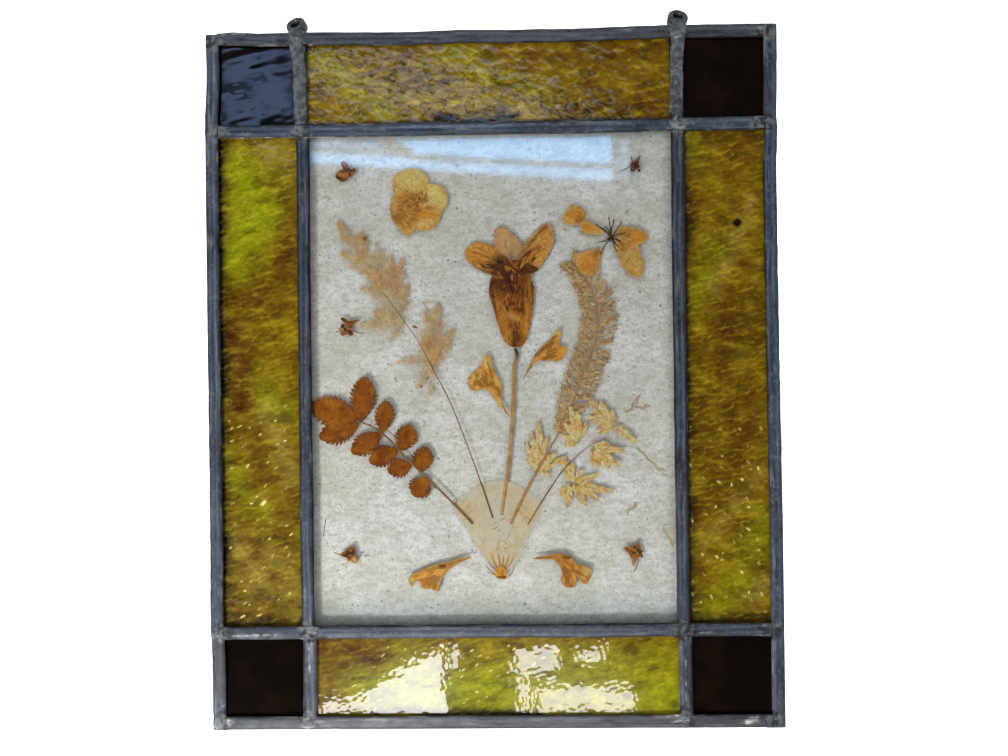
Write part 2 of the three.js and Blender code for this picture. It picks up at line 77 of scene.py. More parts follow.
def layeredNoise(x, z, size, seed, layers=3):
    total = 0.0
    weight = 1.0
    for layer in range(layers):
        total = total + weight * gridNoise(x + 7.3 * layer, z - 4.1 * layer, size / 2 ** layer,
                                           seed + layer)
        weight *= 0.5
    return total / (2 - 0.5 ** (layers - 1))


def smoothStep(low, high, value):
    share = np.clip((value - low) / (high - low), 0, 1)
    return share * share * (3 - 2 * share)


# How strongly the given strokes (x0, z0, x1, z1, width, strength) cover each point
def strokesAt(x, z, strokes, softness=1.0):
    cover = np.zeros(np.shape(x))
    for x0, z0, x1, z1, width, strength in strokes:
        dx, dz = x1 - x0, z1 - z0
        length = dx * dx + dz * dz + 1e-9
        share = np.clip(((x - x0) * dx + (z - z0) * dz) / length, 0, 1)
        away = np.hypot(x - x0 - share * dx, z - z0 - share * dz) / (width * 0.5)
        cover = np.maximum(cover, strength * np.exp(-away ** 2 * 1.2 / softness))
    return cover


# Faces of a tube of rings with the given number of points, capped at both ends or closed on itself
def tubeFaces(rings, size, closed=False):
    faces = []
    for ring in range(rings if closed else rings - 1):
        here, there = ring * size, (ring + 1) % rings * size
        faces += [(here + k, here + (k + 1) % size, there + (k + 1) % size, there + k) for k in range(size)]
    if not closed:
        faces += [tuple(range(size)), tuple(range((rings - 1) * size, rings * size))]
    return faces


def meshPiece(name, points, faces, material, marks=None, sharp=None, stands=()):
    mesh = bpy.data.meshes.new(name)
    mesh.from_pydata(toFrame(points).tolist(), [], faces)
    for label, values in (marks or {}).items():
        layer = mesh.attributes.new(label, "FLOAT", "POINT")
        layer.data.foreach_set("value", np.asarray(values, np.float32))
    work = bmesh.new()
    work.from_mesh(mesh)
    bmesh.ops.recalc_face_normals(work, faces=work.faces)
    work.to_mesh(mesh)
    work.free()
    mesh.shade_smooth()
    if sharp:
        mesh.set_sharp_from_angle(angle=math.radians(sharp))
    mesh.materials.append(material)
    piece = bpy.data.objects.new(name, mesh)
    bpy.context.scene.collection.objects.link(piece)
    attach(piece, "root")
    if stands:
        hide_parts(*stands)
    return piece


class Finish:
    def __init__(self, name):
        self.material = bpy.data.materials.new(name)
        self.material.use_nodes = True
        self.tree = self.material.node_tree
        self.shader = self.tree.nodes["Principled BSDF"]
        self.output = self.tree.nodes["Material Output"]

    def node(self, kind, **settings):
        made = self.tree.nodes.new(kind)
        for key, value in settings.items():
            setattr(made, key, value)
        return made

    def link(self, source, target):
        self.tree.links.new(source, target)

    def place(self):
        return self.node("ShaderNodeTexCoord").outputs["Object"]

    def noise(self, scale, detail=3.0, roughness=0.55, stretch=None):
        noise = self.node("ShaderNodeTexNoise")
        noise.inputs["Scale"].default_value = scale
        noise.inputs["Detail"].default_value = detail
        noise.inputs["Roughness"].default_value = roughness
        spot = self.place()
        if stretch:
            mapping = self.node("ShaderNodeMapping")
            mapping.inputs["Scale"].default_value = stretch
            self.link(spot, mapping.inputs["Vector"])
            spot = mapping.outputs["Vector"]
        self.link(spot, noise.inputs["Vector"])
        return noise.outputs["Fac"]

    def range(self, value, low, high, toLow=0.0, toHigh=1.0):
        ranged = self.node("ShaderNodeMapRange")
        ranged.interpolation_type = "SMOOTHSTEP"
        for socket, number in (("From Min", low), ("From Max", high), ("To Min", toLow),
                               ("To Max", toHigh)):
            ranged.inputs[socket].default_value = number
        self.link(value, ranged.inputs["Value"])
        return ranged.outputs["Result"]

    def mark(self, label):
        return self.node("ShaderNodeAttribute", attribute_name=label).outputs["Fac"]

    def mix(self, share, first, second, blend="MIX"):
        mix = self.node("ShaderNodeMix", data_type="RGBA", blend_type=blend)
        self.feed(share, mix.inputs[0])
        self.feed(first, mix.inputs[6])
        self.feed(second, mix.inputs[7])
        return mix.outputs[2]

    def over(self, base, tone, cover, share, blend="MIX"):
        return self.mix(self.math("MULTIPLY", cover, share), base, tone, blend)

    def math(self, operation, first, second=0.0):
        made = self.node("ShaderNodeMath", operation=operation)
        self.feed(first, made.inputs[0])
        self.feed(second, made.inputs[1])
        return made.outputs[0]

    def feed(self, value, socket):
        if isinstance(value, bpy.types.NodeSocket):
            self.link(value, socket)
        elif isinstance(value, (tuple, list)):
            socket.default_value = (*value, 1.0)
        else:
            socket.default_value = value

    def colour(self, value):
        self.feed(value, self.shader.inputs["Base Color"])

    def blend(self, share, first, second):
        blend = self.node("ShaderNodeMixShader")
        self.feed(share, blend.inputs["Fac"])
        self.link(first, blend.inputs[1])
        self.link(second, blend.inputs[2])
        return blend.outputs["Shader"]

    def bump(self, height, distance, strength=1.0):
        bump = self.node("ShaderNodeBump")
        bump.inputs["Distance"].default_value = distance
        bump.inputs["Strength"].default_value = strength
        self.link(height, bump.inputs["Height"])
        self.link(bump.outputs["Normal"], self.shader.inputs["Normal"])
        return bump.outputs["Normal"]

    def set(self, **values):
        for key, value in values.items():
            self.shader.inputs[key].default_value = value


def linear(red, green, blue):
    channels = (red, green, blue)
    return tuple(((c / 255 + 0.055) / 1.055) ** 2.4 if c > 10 else c / 255 / 12.92 for c in channels)


studio = {
    "camera": (16.3, -500.0, 168.4), "yaw": -1.316, "pitch": 0.228, "roll": -0.696, "lens": 36.47,
    "keyFrom": (-0.54, -1.0, -0.77), "keyDistance": 2300, "keySize": 0.66, "keyPower": 82.0,
    "floorDrop": 1500, "wallBack": 1300, "paleWorld": 1.36,
}


def addCamera():
    yaw, pitch, roll = (math.radians(studio[key]) for key in ("yaw", "pitch", "roll"))
    forward = Vector((math.sin(yaw) * math.cos(pitch), math.cos(yaw) * math.cos(pitch), math.sin(pitch)))
    level = Vector((math.cos(yaw), -math.sin(yaw), 0))
    lift = level.cross(forward)
    right = math.cos(roll) * level + math.sin(roll) * lift
    up = math.cos(roll) * lift - math.sin(roll) * level
    turn = Matrix((right, up, -forward)).transposed()
    camera = bpy.data.objects.new("camera", bpy.data.cameras.new("camera"))
    camera.data.lens = studio["lens"]
    camera.data.sensor_width = 36.0
    camera.data.clip_start = 0.01
    camera.matrix_world = Matrix.Translation(Vector(toFrame(studio["camera"]))) @ turn.to_4x4()
    bpy.context.scene.collection.objects.link(camera)
    bpy.context.scene.camera = camera


def addKey():
    towards = Vector(studio["keyFrom"]).normalized()
    lamp = bpy.data.lights.new("softKey", "AREA")
    lamp.shape = "DISK"
    lamp.size = studio["keySize"]
    lamp.energy = studio["keyPower"]
    key = bpy.data.objects.new("softKey", lamp)
    centre = Vector(toFrame((0, 0, 170)))
    key.location = centre + towards * studio["keyDistance"] * 0.001
    key.rotation_euler = (-towards).to_track_quat("-Z", "Y").to_euler()
    key.visible_camera = False
    bpy.context.scene.collection.objects.link(key)


def stagePiece(name, corners, faces, material):
    mesh = bpy.data.meshes.new(name)
    mesh.from_pydata([tuple(point) for point in toFrame(corners)], [], faces)
    mesh.materials.append(material)
    piece = bpy.data.objects.new(name, mesh)
    bpy.context.scene.collection.objects.link(piece)
    return piece


def paleSweep():
    finish = Finish("paleSweep")
    finish.colour(finish.mix(finish.noise(3.0), (0.86, 0.86, 0.86), (0.9, 0.9, 0.9)))
    finish.set(Roughness=0.9)
    finish.shader.inputs["Emission Color"].default_value = (1, 1, 1, 1)
    finish.shader.inputs["Emission Strength"].default_value = 0.25
    drop, back, bend = -studio["floorDrop"], studio["wallBack"], 400
    profile = [(-3200, drop), (back - bend, drop)]
    for step in range(1, 8):
        turn = math.radians(90 * step / 8)
        profile.append((back - bend + bend * math.sin(turn), drop + bend - bend * math.cos(turn)))
    profile += [(back, drop + bend), (back, 3200)]
    corners = [(x, y, z) for y, z in profile for x in (-4200, 4200)]
    faces = [(2 * i, 2 * i + 1, 2 * i + 3, 2 * i + 2) for i in range(len(profile) - 1)]
    stagePiece("paleSweep", corners, faces, finish.material)


def glowFinish(name, colour, strength):
    finish = Finish(name)
    finish.shader.inputs["Emission Color"].default_value = (*colour, 1)
    finish.shader.inputs["Emission Strength"].default_value = strength
    finish.set(Roughness=1.0)
    finish.colour(finish.mix(finish.noise(2.0), (0.01, 0.01, 0.01), (0.02, 0.02, 0.02)))
    finish.set(**{"Specular IOR Level": 0.0})
    return finish.material


def onlyInGloss(card):
    card.visible_camera = False
    card.visible_transmission = False
    card.visible_volume_scatter = False
    card.visible_shadow = False
    card.visible_diffuse = False


# A card that mirrors into the given outline on the glass at depth y, seen from the camera
def mirrorCard(name, outlineOnGlass, glassDepth, away, colour, strength):
    eye = studio["camera"]
    reach = glassDepth - eye[1]
    share = away / reach
    corners = [(x + (x - eye[0]) * share, glassDepth - away, z + (z - eye[2]) * share)
               for x, z in outlineOnGlass]
    card = stagePiece(name, corners, [tuple(range(len(corners)))], glowFinish(name, colour, strength))
    onlyInGloss(card)


# What mirrors in the glass: outline seen on the panel, how far away, colour and strength
mirrored = {
    "skyUpper": ([(-47, 288), (-36, 280.6), (0, 277.8), (59, 274.4), (59, 288)], "paneFront", 600,
        (0.17, 0.52, 1.0), 4.8),
    "skyLower": (
        [(-90, 282.4), (-48, 280.2), (-34, 277.4), (59, 271.6), (59, 266.2), (-34, 272.8), (-90, 277.4)],
        "paneFront", 600, (0.24, 0.56, 1.0), 4.4),
    "skyFaint": ([(-90, 288), (-58, 288), (-52, 283.6), (-90, 285)], "paneFront", 600, (0.3, 0.55, 1.0),
        2.2),
    "skyBar": ([(63, 286), (63, 268), (67, 268), (67, 286)], "paneFront", 600, (0.3, 0.6, 1.0), 2.0),
    "paleSky": (
        [(-92, 334), (-92, 318), (-60, 308), (-30, 298), (30, 296), (59, 295), (40, 305), (-10, 322),
            (-40, 334)], "stripFront", 160, (0.5, 0.68, 1.0), 4.2),
    "cornerSky": (
        [(-133, 325), (-127, 331), (-122, 334), (-108, 334), (-103, 326), (-97, 319), (-97, 299),
            (-134, 299)], "stripFront", 300, (0.38, 0.54, 1.0), 3.4),
}
duskShapes = [
    [(-121, 317), (-115, 320.4), (-110, 319.6), (-105.6, 317.2), (-112, 316.4)],
    [(-133, 319), (-129, 317), (-121, 314.4), (-112, 311.4), (-119, 309.4), (-133, 310.6)],
    [(-112, 302.6), (-107, 304.6), (-102, 303.6), (-99.4, 301.6), (-106, 300.8)],
    [(-106, 317), (-100, 316), (-97, 315.2), (-97, 314.2), (-103, 314.6)],
]
windowShapes = [
    ([(-87, 6), (-26, 6), (-26, 40), (-44, 30), (-70, 15), (-87, 13)], 32),
    ([(-23, 27), (-19, 27), (-19, 40), (-23, 40)], 26), ([(8, 27), (29, 26), (29, 39), (8, 39)], 26),
    ([(40, 32), (52, 32), (52, 37), (40, 37)], 26), ([(10, 7), (15, 7), (15, 25), (10, 25)], 26),
    ([(19, 7), (66, 7), (66, 19), (40, 20), (19, 20)], 24.7),
]
for number, shape in enumerate(duskShapes, 1):
    mirrored[f"cornerDusk{number}"] = (shape, "stripFront", 290, (0.2, 0.1, 0.05), 0.1)
for number, (shape, strength) in enumerate(windowShapes, 1):
    mirrored[f"windowCard{number}"] = (shape, "stripFront", 110, (0.95, 0.96, 1.0), strength)


def addCards():
    flag = stagePiece("darkFlag", [(-620, -800, -420), (650, -800, -420), (650, -800, 800),
                                   (-620, -800, 800)],
                      [(0, 1, 2, 3)], glowFinish("darkFlag", (0.02, 0.022, 0.026), 1.0))
    onlyInGloss(flag)
    for name, (outline, face, away, colour, strength) in mirrored.items():
        mirrorCard(name, outline, depths[face], away, colour, strength)


def addWorld():
    world = bpy.data.worlds.new("paleWorld")
    world.use_nodes = True
    background = world.node_tree.nodes["Background"]
    background.inputs["Color"].default_value = (0.97, 0.985, 1.0, 1.0)
    background.inputs["Strength"].default_value = studio["paleWorld"]
    bpy.context.scene.world = world


def buildStudio():
    addCamera()
    addKey()
    paleSweep()
    addCards()
    addWorld()
    bpy.context.scene.view_settings.view_transform = "Standard"
    print("studio ready")


came = {
    "borderWidth": 6.5, "innerWidth": 6.5, "lip": 3.2, "dome": 0.5, "wall": 1.4, "step": 0.9,
    "crossTop": 292.3, "crossBottom": 47.4, "height": 340.0, "dent": 0.10, "wander": 0.16,
    "uprights": {"upper": (-93.0, 90.1), "middle": (-92.2, 90.5), "lower": (-91.6, 91.1)},
}
# How far the outer edge strays from the plain rectangle at places along it: (place, offset)
edgeStray = {
    "left": [(0, 0.1), (10, 0.3), (30, 0.4), (48, 1.0), (60, 1.2), (100, 0.9), (180, 1.1), (250, 1.3),
        (285, 1.3), (297, 1.3), (308, 0.7), (320, 0.1), (340, 0.35)],
    "right": [(0, 0.0), (40, 0.0), (85, 0.0), (120, -0.2), (180, -0.7), (240, -1.0), (275, -0.9),
        (290, -0.35), (296, -0.75), (330, 0.0), (340, 0.0)],
    "top": [(-139, 0.5), (-126, 1.5), (-114, 0.6), (-85, 0.7), (-60, 0.2), (-38, -0.2), (-14, 0.45),
        (10, -0.1), (45, 0.0), (68, 0.45), (86, 0.8), (110, 0.65), (139, 0.5)],
    "bottom": [(-139, 0.2), (-110, 1.0), (-96, 0.4), (-80, -0.2), (-45, 0.3), (80, 0.0), (106, 0.0),
        (120, 0.5), (139, 0.2)],
}
# Solder where bars meet: (x, z, half width, half height)
solderSpots = [
    (-135.0, 336.2, 5.6, 4.6), (133.8, 336.2, 5.4, 4.6), (-135.2, 3.8, 5.4, 4.6), (133.6, 3.6, 5.4, 4.4),
    (-134.0, 292.3, 6.4, 4.6), (132.4, 292.0, 6.4, 4.8), (-134.6, 47.4, 6.2, 4.6),
    (132.6, 47.2, 6.4, 4.8), (-92.8, 292.4, 6.0, 6.2), (90.2, 292.4, 6.2, 6.6), (-92.0, 47.4, 6.0, 6.0),
    (90.8, 47.2, 6.4, 6.4), (-91.8, 5.2, 4.8, 5.6), (91.0, 5.4, 5.2, 6.0), (-93.4, 334.6, 4.8, 5.4),
    (90.4, 334.6, 4.8, 5.4),
]


def solderCover(x, z):
    cover = np.zeros(np.shape(x))
    ragged = 0.42 * layeredNoise(x, z, 3.2, 31)
    for sx, sz, halfWide, halfHigh in solderSpots:
        inside = 1.15 - np.hypot((x - sx) / halfWide, (z - sz) / halfHigh) + ragged
        cover = np.maximum(cover, smoothStep(0.0, 0.35, inside))
    return cover


# Height of the lead's front or back face above the mid plane, for a share -1..1 across the bar
def leadHeight(x, z, share, seed):
    dome = -depths["leadFace"] - came["dome"] * np.abs(share) ** 2.4
    dome = dome + came["dent"] * layeredNoise(x, z, 9.0, seed)
    dome = dome - 0.06 * np.abs(layeredNoise(x, z, 2.2, seed + 3))
    cover = solderCover(x, z)
    lumps = 4.12 + 0.34 * layeredNoise(x, z, 4.0, seed + 5) + 0.12 * layeredNoise(x, z, 1.3, seed + 9, 2)
    return np.clip(dome * (1 - cover) + lumps * cover, 3.35, 4.85)


def leadRing(closedSide):
    across = np.linspace(-1, 1, 15)
    lip = came["lip"]
    half = came["borderWidth"] / 2
    heart = came["wall"] / 2 / half
    ring = [(share, "front", 0.0) for share in across]
    if closedSide:
        wall = -1 + came["wall"] / half
        ring += [(1, "inside", -lip), (wall, "inside", -lip), (wall, "inside", lip), (1, "inside", lip)]
    else:
        ring += [(1, "inside", -lip), (heart, "inside", -lip), (heart, "inside", lip), (1, "inside", lip)]
    ring += [(share, "back", 0.0) for share in np.linspace(1, -1, 9)]
    if closedSide:
        ring += [(-1, "wall", 1.6), (-1, "wall", -1.6)]
    else:
        ring += [(-1, "inside", lip), (-heart, "inside", lip), (-heart, "inside", -lip),
                 (-1, "inside", -lip)]
    return ring


def leadBar(name, upright, start, end, middleAt, halfAt, seed, outer=0):
    ring = leadRing(outer != 0)
    count = max(2, int(round((end - start) / came["step"])))
    places = np.linspace(start, end, count + 1)
    middles = middleAt(places)
    halves = halfAt(places)
    turn = -outer if outer else 1  # the closed wall of a border bar stands on its outer side
    columns = []
    for share, kind, fixed in ring:
        across = middles + turn * share * halves
        x, z = (across, places) if upright else (places, across)
        if kind == "front":
            y = -leadHeight(x, z, share, seed)
        elif kind == "back":
            y = leadHeight(x, z, share, seed + 40)
        else:
            y = np.full(x.shape, fixed)
        columns.append(np.stack([x, y, z], axis=1))
    points = np.stack(columns, axis=1).reshape(-1, 3)
    size = len(ring)
    faces = tubeFaces(count + 1, size)
    x, z = points[:, 0], points[:, 2]
    shares = np.tile([spot[0] for spot in ring], count + 1)
    along, across = (z, x) if upright else (x, z)
    inner = upright and not outer
    edge = shares if outer else np.abs(shares) + 0.1 * inner
    # Painted highlights: the crest and groove stripes are lighter lines along the rounded face where it
    # catches the light; worn only breaks them up with noise
    crestStray = 0.2 * gridNoise(along, 0 * along, 30.0, seed + 22)
    crestHighlight = np.exp(-((turn * shares - 0.3 - crestStray) / 0.17) ** 2)
    grooveStray = 0.15 * gridNoise(along, 0 * along, 24.0, seed + 23)
    grooveHighlight = np.exp(-((turn * shares + 0.45 + grooveStray) / 0.12) ** 2)
    worn = np.clip(0.55 + 0.7 * layeredNoise(along * 0.3, across, 6.0, seed + 24), 0, 1)
    scuffs = layeredNoise(along * 0.09, across, 1.2, seed + 25)
    broken = np.clip(0.35 + 0.9 * layeredNoise(x, z, 1.8, seed + 26), 0, 0.8)
    marks = {
        "streak": 0.5 + 0.7 * layeredNoise(along * 0.07, across, 1.5, seed + 20),
        "crestHighlight": np.maximum(crestHighlight, 0.55 * grooveHighlight) * worn,
        # dark patina with painted shade along the edges beside the glass
        "seam": smoothStep(0.74, 0.9, edge + 0.08 * gridNoise(along, across, 5.0, seed + 21)),
        "solder": solderCover(x, z),
        "bright": np.maximum(strokesAt(x, z, leadWearAndHighlights) * broken, 0.08 * smoothStep(0.35, 0.6, scuffs)),
        "dark": np.maximum(strokesAt(x, z, leadDark), 0.6 * smoothStep(0.3, 0.55, -scuffs) + 0.2 * inner),
        "warm": strokesAt(x, z, leadWarm, 2.0),
    }
    meshPiece(f"{name}_lead", points, faces, leadFinish, marks, 38, [name])


# Marks on the lead: (x0, z0, x1, z1, width, strength)
# Bright: worn metal, painted highlights along the cross bars' lower edges and painted glints
leadWearAndHighlights = [
    (-133.4, 332.6, -128, 333.3, 0.6, 0.8), (-131, 340.4, -113, 340.6, 0.8, 0.45),
    (-118, 289.2, -132, 289.1, 0.45, 0.75), (-118, 289.2, -50, 289.1, 0.4, 0.4),
    (-50, 289.2, 90, 289.2, 0.35, 0.22), (125, 332.6, 131, 332.3, 0.7, 0.8),
    (131.2, 332, 131, 327, 0.7, 0.8), (-88, 334, -87.5, 334.6, 0.7, 0.8),
    (-134, 12, -133.4, 12.4, 0.8, 0.9), (-133, 4.6, -130.4, 4.0, 2.2, 0.7),
    (-130, 46, -108, 46.4, 1.0, 0.5), (-92, 48, -89, 47, 1.6, 0.6), (-91.6, 28, -91.8, 40, 0.8, 0.6),
    (120, 2.8, 125, 3.6, 2.4, 0.7), (122, 4.6, 125, 5, 1.6, 0.7), (128, 8, 128.6, 8.4, 0.8, 0.8),
    (91.2, 13, 91, 33, 0.7, 0.55), (97, 46, 104, 46.4, 0.6, 0.5), (88, 292, 93, 290.6, 2.4, 0.5),
    (88, 294, 90, 296, 1.2, 0.5), (80, 5.6, 90, 6.6, 1.0, 0.4), (84, 3, 92, 4, 0.8, 0.4),
    (-60, 293.4, 70, 293.6, 0.7, 0.14), (-70, 49, 60, 49.2, 0.6, 0.16),
]
# Dark: pits, and a wide last stroke that darkens the whole lower cross bar
leadDark = [
    (-103.6, 336.4, -101, 336, 2.2, 0.8), (103, 336, 103.6, 336, 2.0, 0.8),
    (-139, 35, -138.4, 35, 2.0, 1.0), (138.6, 283, 138, 283, 2.0, 0.9), (-80, 337, -30, 336.6, 1.8, 0.5),
    (-134, 13.2, -133.2, 13.4, 0.7, 0.9), (112, 334.6, 124, 335, 2.4, 0.4),
    (-132, 46.6, 131, 46.6, 9, 0.35),
]
# Warm grey places
leadWarm = [
    (-137, 18, -137, 45, 8.0, 0.8), (-139, 3, 139, 3, 8.0, 0.85), (-130, 337, 139, 337, 8.0, 0.6),
    (131, 289, 131, 290, 4.0, 1.0),
]


def leadMaterial():
    finish = Finish("darkenedLead")
    broad = finish.range(finish.noise(30.0, 3.0, 0.5), 0.4, 0.62)
    fine = finish.range(finish.noise(620.0, 3.0, 0.6), 0.5, 0.75)
    colour = finish.mix(finish.mark("streak"), linear(14, 18, 27), linear(38, 46, 60))
    colour = finish.over(colour, linear(46, 51, 60), broad, 0.4)
    # painted highlight stripes along the came's face
    colour = finish.over(colour, linear(76, 84, 98), finish.mark("crestHighlight"), 0.75)
    colour = finish.over(colour, linear(92, 96, 102), fine, 0.35)
    colour = finish.over(colour, linear(47, 45, 43), finish.mark("warm"), 0.8)
    lumps = finish.range(finish.noise(330.0, 4.0, 0.65), 0.42, 0.6)
    solderTone = finish.mix(lumps, linear(19, 20, 22), linear(76, 78, 80))
    colour = finish.over(colour, solderTone, finish.mark("solder"), 0.75)
    # near black: dark patina and painted shade at the came's edges, painted shade inside the loop eyes
    colour = finish.mix(finish.mark("seam"), colour, linear(5, 6, 8))
    # worn bright metal, painted highlights and painted glints
    colour = finish.mix(finish.mark("bright"), colour, linear(196, 192, 184))
    colour = finish.mix(finish.mark("dark"), colour, linear(8, 7, 6))
    finish.colour(colour)
    finish.set(Metallic=0.3, **{"Specular IOR Level": 0.25})
    finish.feed(finish.range(finish.noise(160.0, 2.0), 0.3, 0.7, 0.36, 0.6),
                finish.shader.inputs["Roughness"])
    finish.bump(finish.noise(700.0, 4.0, 0.7), 0.00016, 0.7)
    return finish.material


leadFinish = leadMaterial()


def strayAt(side, places):
    along, offsets = zip(*edgeStray[side])
    return np.interp(places, along, offsets) + 0.12 * gridNoise(places, places * 0, 5.0, len(side))


# The strap's sections run up the upright (z, y, half width, half depth) and meet a short deep eye
loops = {
    "strap": [(298, -3.6, 3.2, 0.5), (305, -3.95, 3.2, 0.8), (314, -4.2, 3.3, 1.1), (325, -4.3, 3.3, 1.3),
        (331, -4.3, 3.2, 1.35), (335, -4.3, 3.5, 1.35), (338, -4.0, 4.2, 1.6), (339.8, -3.0, 4.5, 2.5),
        (341.4, -1.6, 4.2, 3.2), (342.8, -0.4, 3.4, 2.8)],
    "outer": 4.95, "inner": 2.2, "deep": 2.6, "tilt": 29,
    # Each side's bright strokes are painted highlights on its strap's ridges
    "sides": {
        "left": {
            "x": -95.0, "foot": -93.0, "turn": -16, "seed": 401,
            "bright": [(-96.2, 336.6, -93.8, 337.2, 0.6, 0.15)],
        },
        "right": {
            "x": 91.5, "foot": 90.1, "turn": 6, "seed": 403,
            "bright": [(89.6, 334, 93, 334.4, 0.5, 0.35), (89.6, 320, 92.6, 319.6, 0.4, 0.25)],
        },
    },
}


def buildLoop(side, look):
    batch = Batch()
    sections = np.array(loops["strap"])
    heights = np.linspace(sections[0, 0], sections[-1, 0], 72)
    outAt, wide, deep = (np.interp(heights, sections[:, 0], sections[:, k]) for k in (1, 2, 3))
    around = np.linspace(0, 2 * math.pi, 28, endpoint=False)
    rows = []
    for height, y, halfWide, halfDeep in zip(heights, outAt, wide, deep):
        bumpy = 1 + 0.09 * layeredNoise(np.cos(around) * 3 + look["seed"], np.sin(around) * 3 + height,
                                        1.6, look["seed"])
        middle = look["foot"] + (look["x"] - look["foot"]) * smoothStep(318, 340, height)
        sway = 0.2 * gridNoise(np.array([height]), 0, 5.0, look["seed"])[0]
        x = middle + np.cos(around) * halfWide * bumpy + sway
        rows.append(np.stack([x, np.maximum(y + np.sin(around) * halfDeep * bumpy, -5.75),
                              0 * x + height], axis=1))
    size = len(around)
    faces = tubeFaces(len(rows), size)
    points = np.concatenate(rows)
    batch.add(points, faces, solder=0.75,
              bright=0.03 + strokesAt(points[:, 0], points[:, 2], look["bright"]))
    outer, inner, deepHalf = loops["outer"], loops["inner"], loops["deep"]
    profile = [(inner, -deepHalf + 0.5), (inner + 0.5, -deepHalf), (outer - 0.6, -deepHalf),
               (outer, -deepHalf + 0.7), (outer, deepHalf - 0.7), (outer - 0.6, deepHalf),
               (inner + 0.5, deepHalf), (inner, deepHalf - 0.5), (inner - 0.15, 0.0)]
    tilt, turn = math.radians(loops["tilt"]), math.radians(look["turn"])
    spin = Matrix.Rotation(turn, 3, "Z") @ Matrix.Rotation(-tilt, 3, "X")
    ring = []
    for spot in np.linspace(0, 2 * math.pi, 48, endpoint=False):
        bumpy = 1 + 0.025 * math.sin(3 * spot + look["seed"])
        for radius, depth in profile:
            ring.append(spin @ Vector((radius * bumpy * math.cos(spot), depth,
                                       radius * bumpy * math.sin(spot))))
    centre = np.array([look["x"], 0.0, 344.1])
    count = len(profile)
    faces = tubeFaces(48, count, True)
    # Painted shade on the back and inside faces of the eye's ring
    hollowShade = np.tile([0.7, 0.1, 0.0, 0.35, 0.8, 0.8, 0.8, 1.0, 1.0], 48)
    batch.add(np.array([tuple(v) for v in ring]) + centre, faces, solder=0.5, seam=hollowShade)
    batch.piece(f"hanging_loop_{side}_lead", leadFinish, "loop_solder", [f"hanging_loop_{side}"], 45)


def buildLead():
    width = came["borderWidth"]
    high = came["height"]
    endLeft, endRight = -133.9, 132.6

    def evenHalf(places):
        return np.full(places.shape, width / 2)

    def borderMiddle(side):
        def middleAt(places):
            stray = strayAt(side, places)
            if side == "left":
                return np.maximum(-139 - stray, -140.2) + width / 2
            if side == "right":
                return np.minimum(139 + stray, 138.9) - width / 2
            if side == "top":
                return high + stray - width / 2
            return np.maximum(-stray, 0.05) + width / 2
        return middleAt

    def innerBar(name, upright, start, end, centre, size, seed):
        leadBar(name, upright, start, end,
                lambda places: centre + came["wander"] * gridNoise(places, places * 0, size, seed),
                lambda places: width / 2 + 0.12 * gridNoise(places, places * 0, 14.0, seed), seed)

    for side, seed, outer in (("left", 3, -1), ("right", 5, 1)):
        leadBar(f"border_came_{side}", True, 0.05, high + 0.3, borderMiddle(side), evenHalf, seed, outer)
    for side, seed, outer in (("top", 7, 1), ("bottom", 9, -1)):
        leadBar(f"border_came_{side}", False, endLeft, endRight, borderMiddle(side), evenHalf, seed, outer)
    innerBar("cross_came_top", False, endLeft, endRight, came["crossTop"], 40.0, 11)
    innerBar("cross_came_bottom", False, endLeft, endRight, came["crossBottom"], 40.0, 13)
    inner = came["innerWidth"] / 2
    spans = {
        "upper": (came["crossTop"] + inner - 0.2, high - width + 0.3),
        "middle": (came["crossBottom"] + inner - 0.2, came["crossTop"] - inner + 0.2),
        "lower": (width - 0.3, came["crossBottom"] - inner + 0.2),
    }
    seed = 15
    for row, (foot, tip) in spans.items():
        for side, centre in zip(("left", "right"), came["uprights"][row]):
            innerBar(f"upright_came_{side}_{row}", True, foot, tip, centre, 45.0, seed)
            seed += 2
    for side, look in loops["sides"].items():
        buildLoop(side, look)
    print("lead came built")


# Jittered cells: distance to the nearest cell centre, as a share of the cell size
def cellField(x, z, size, seed, jitter=0.36):
    rng = np.random.RandomState(seed)
    offsets = (rng.rand(256, 256, 2) - 0.5) * 2 * jitter
    u, v = x / size, z / size
    column, row = np.floor(u).astype(int), np.floor(v).astype(int)
    nearest = np.full(np.shape(x), 9.0)
    below = np.zeros(np.shape(x))
    for dc in (-1, 0, 1):
        for dr in (-1, 0, 1):
            c, r = column + dc, row + dr
            shift = offsets[r % 256, c % 256]
            down = v - r - 0.5 - shift[..., 1]
            distance = np.hypot(u - c - 0.5 - shift[..., 0], down)
            below = np.where(distance < nearest, -down, below)
            nearest = np.minimum(nearest, distance)
    return nearest, below


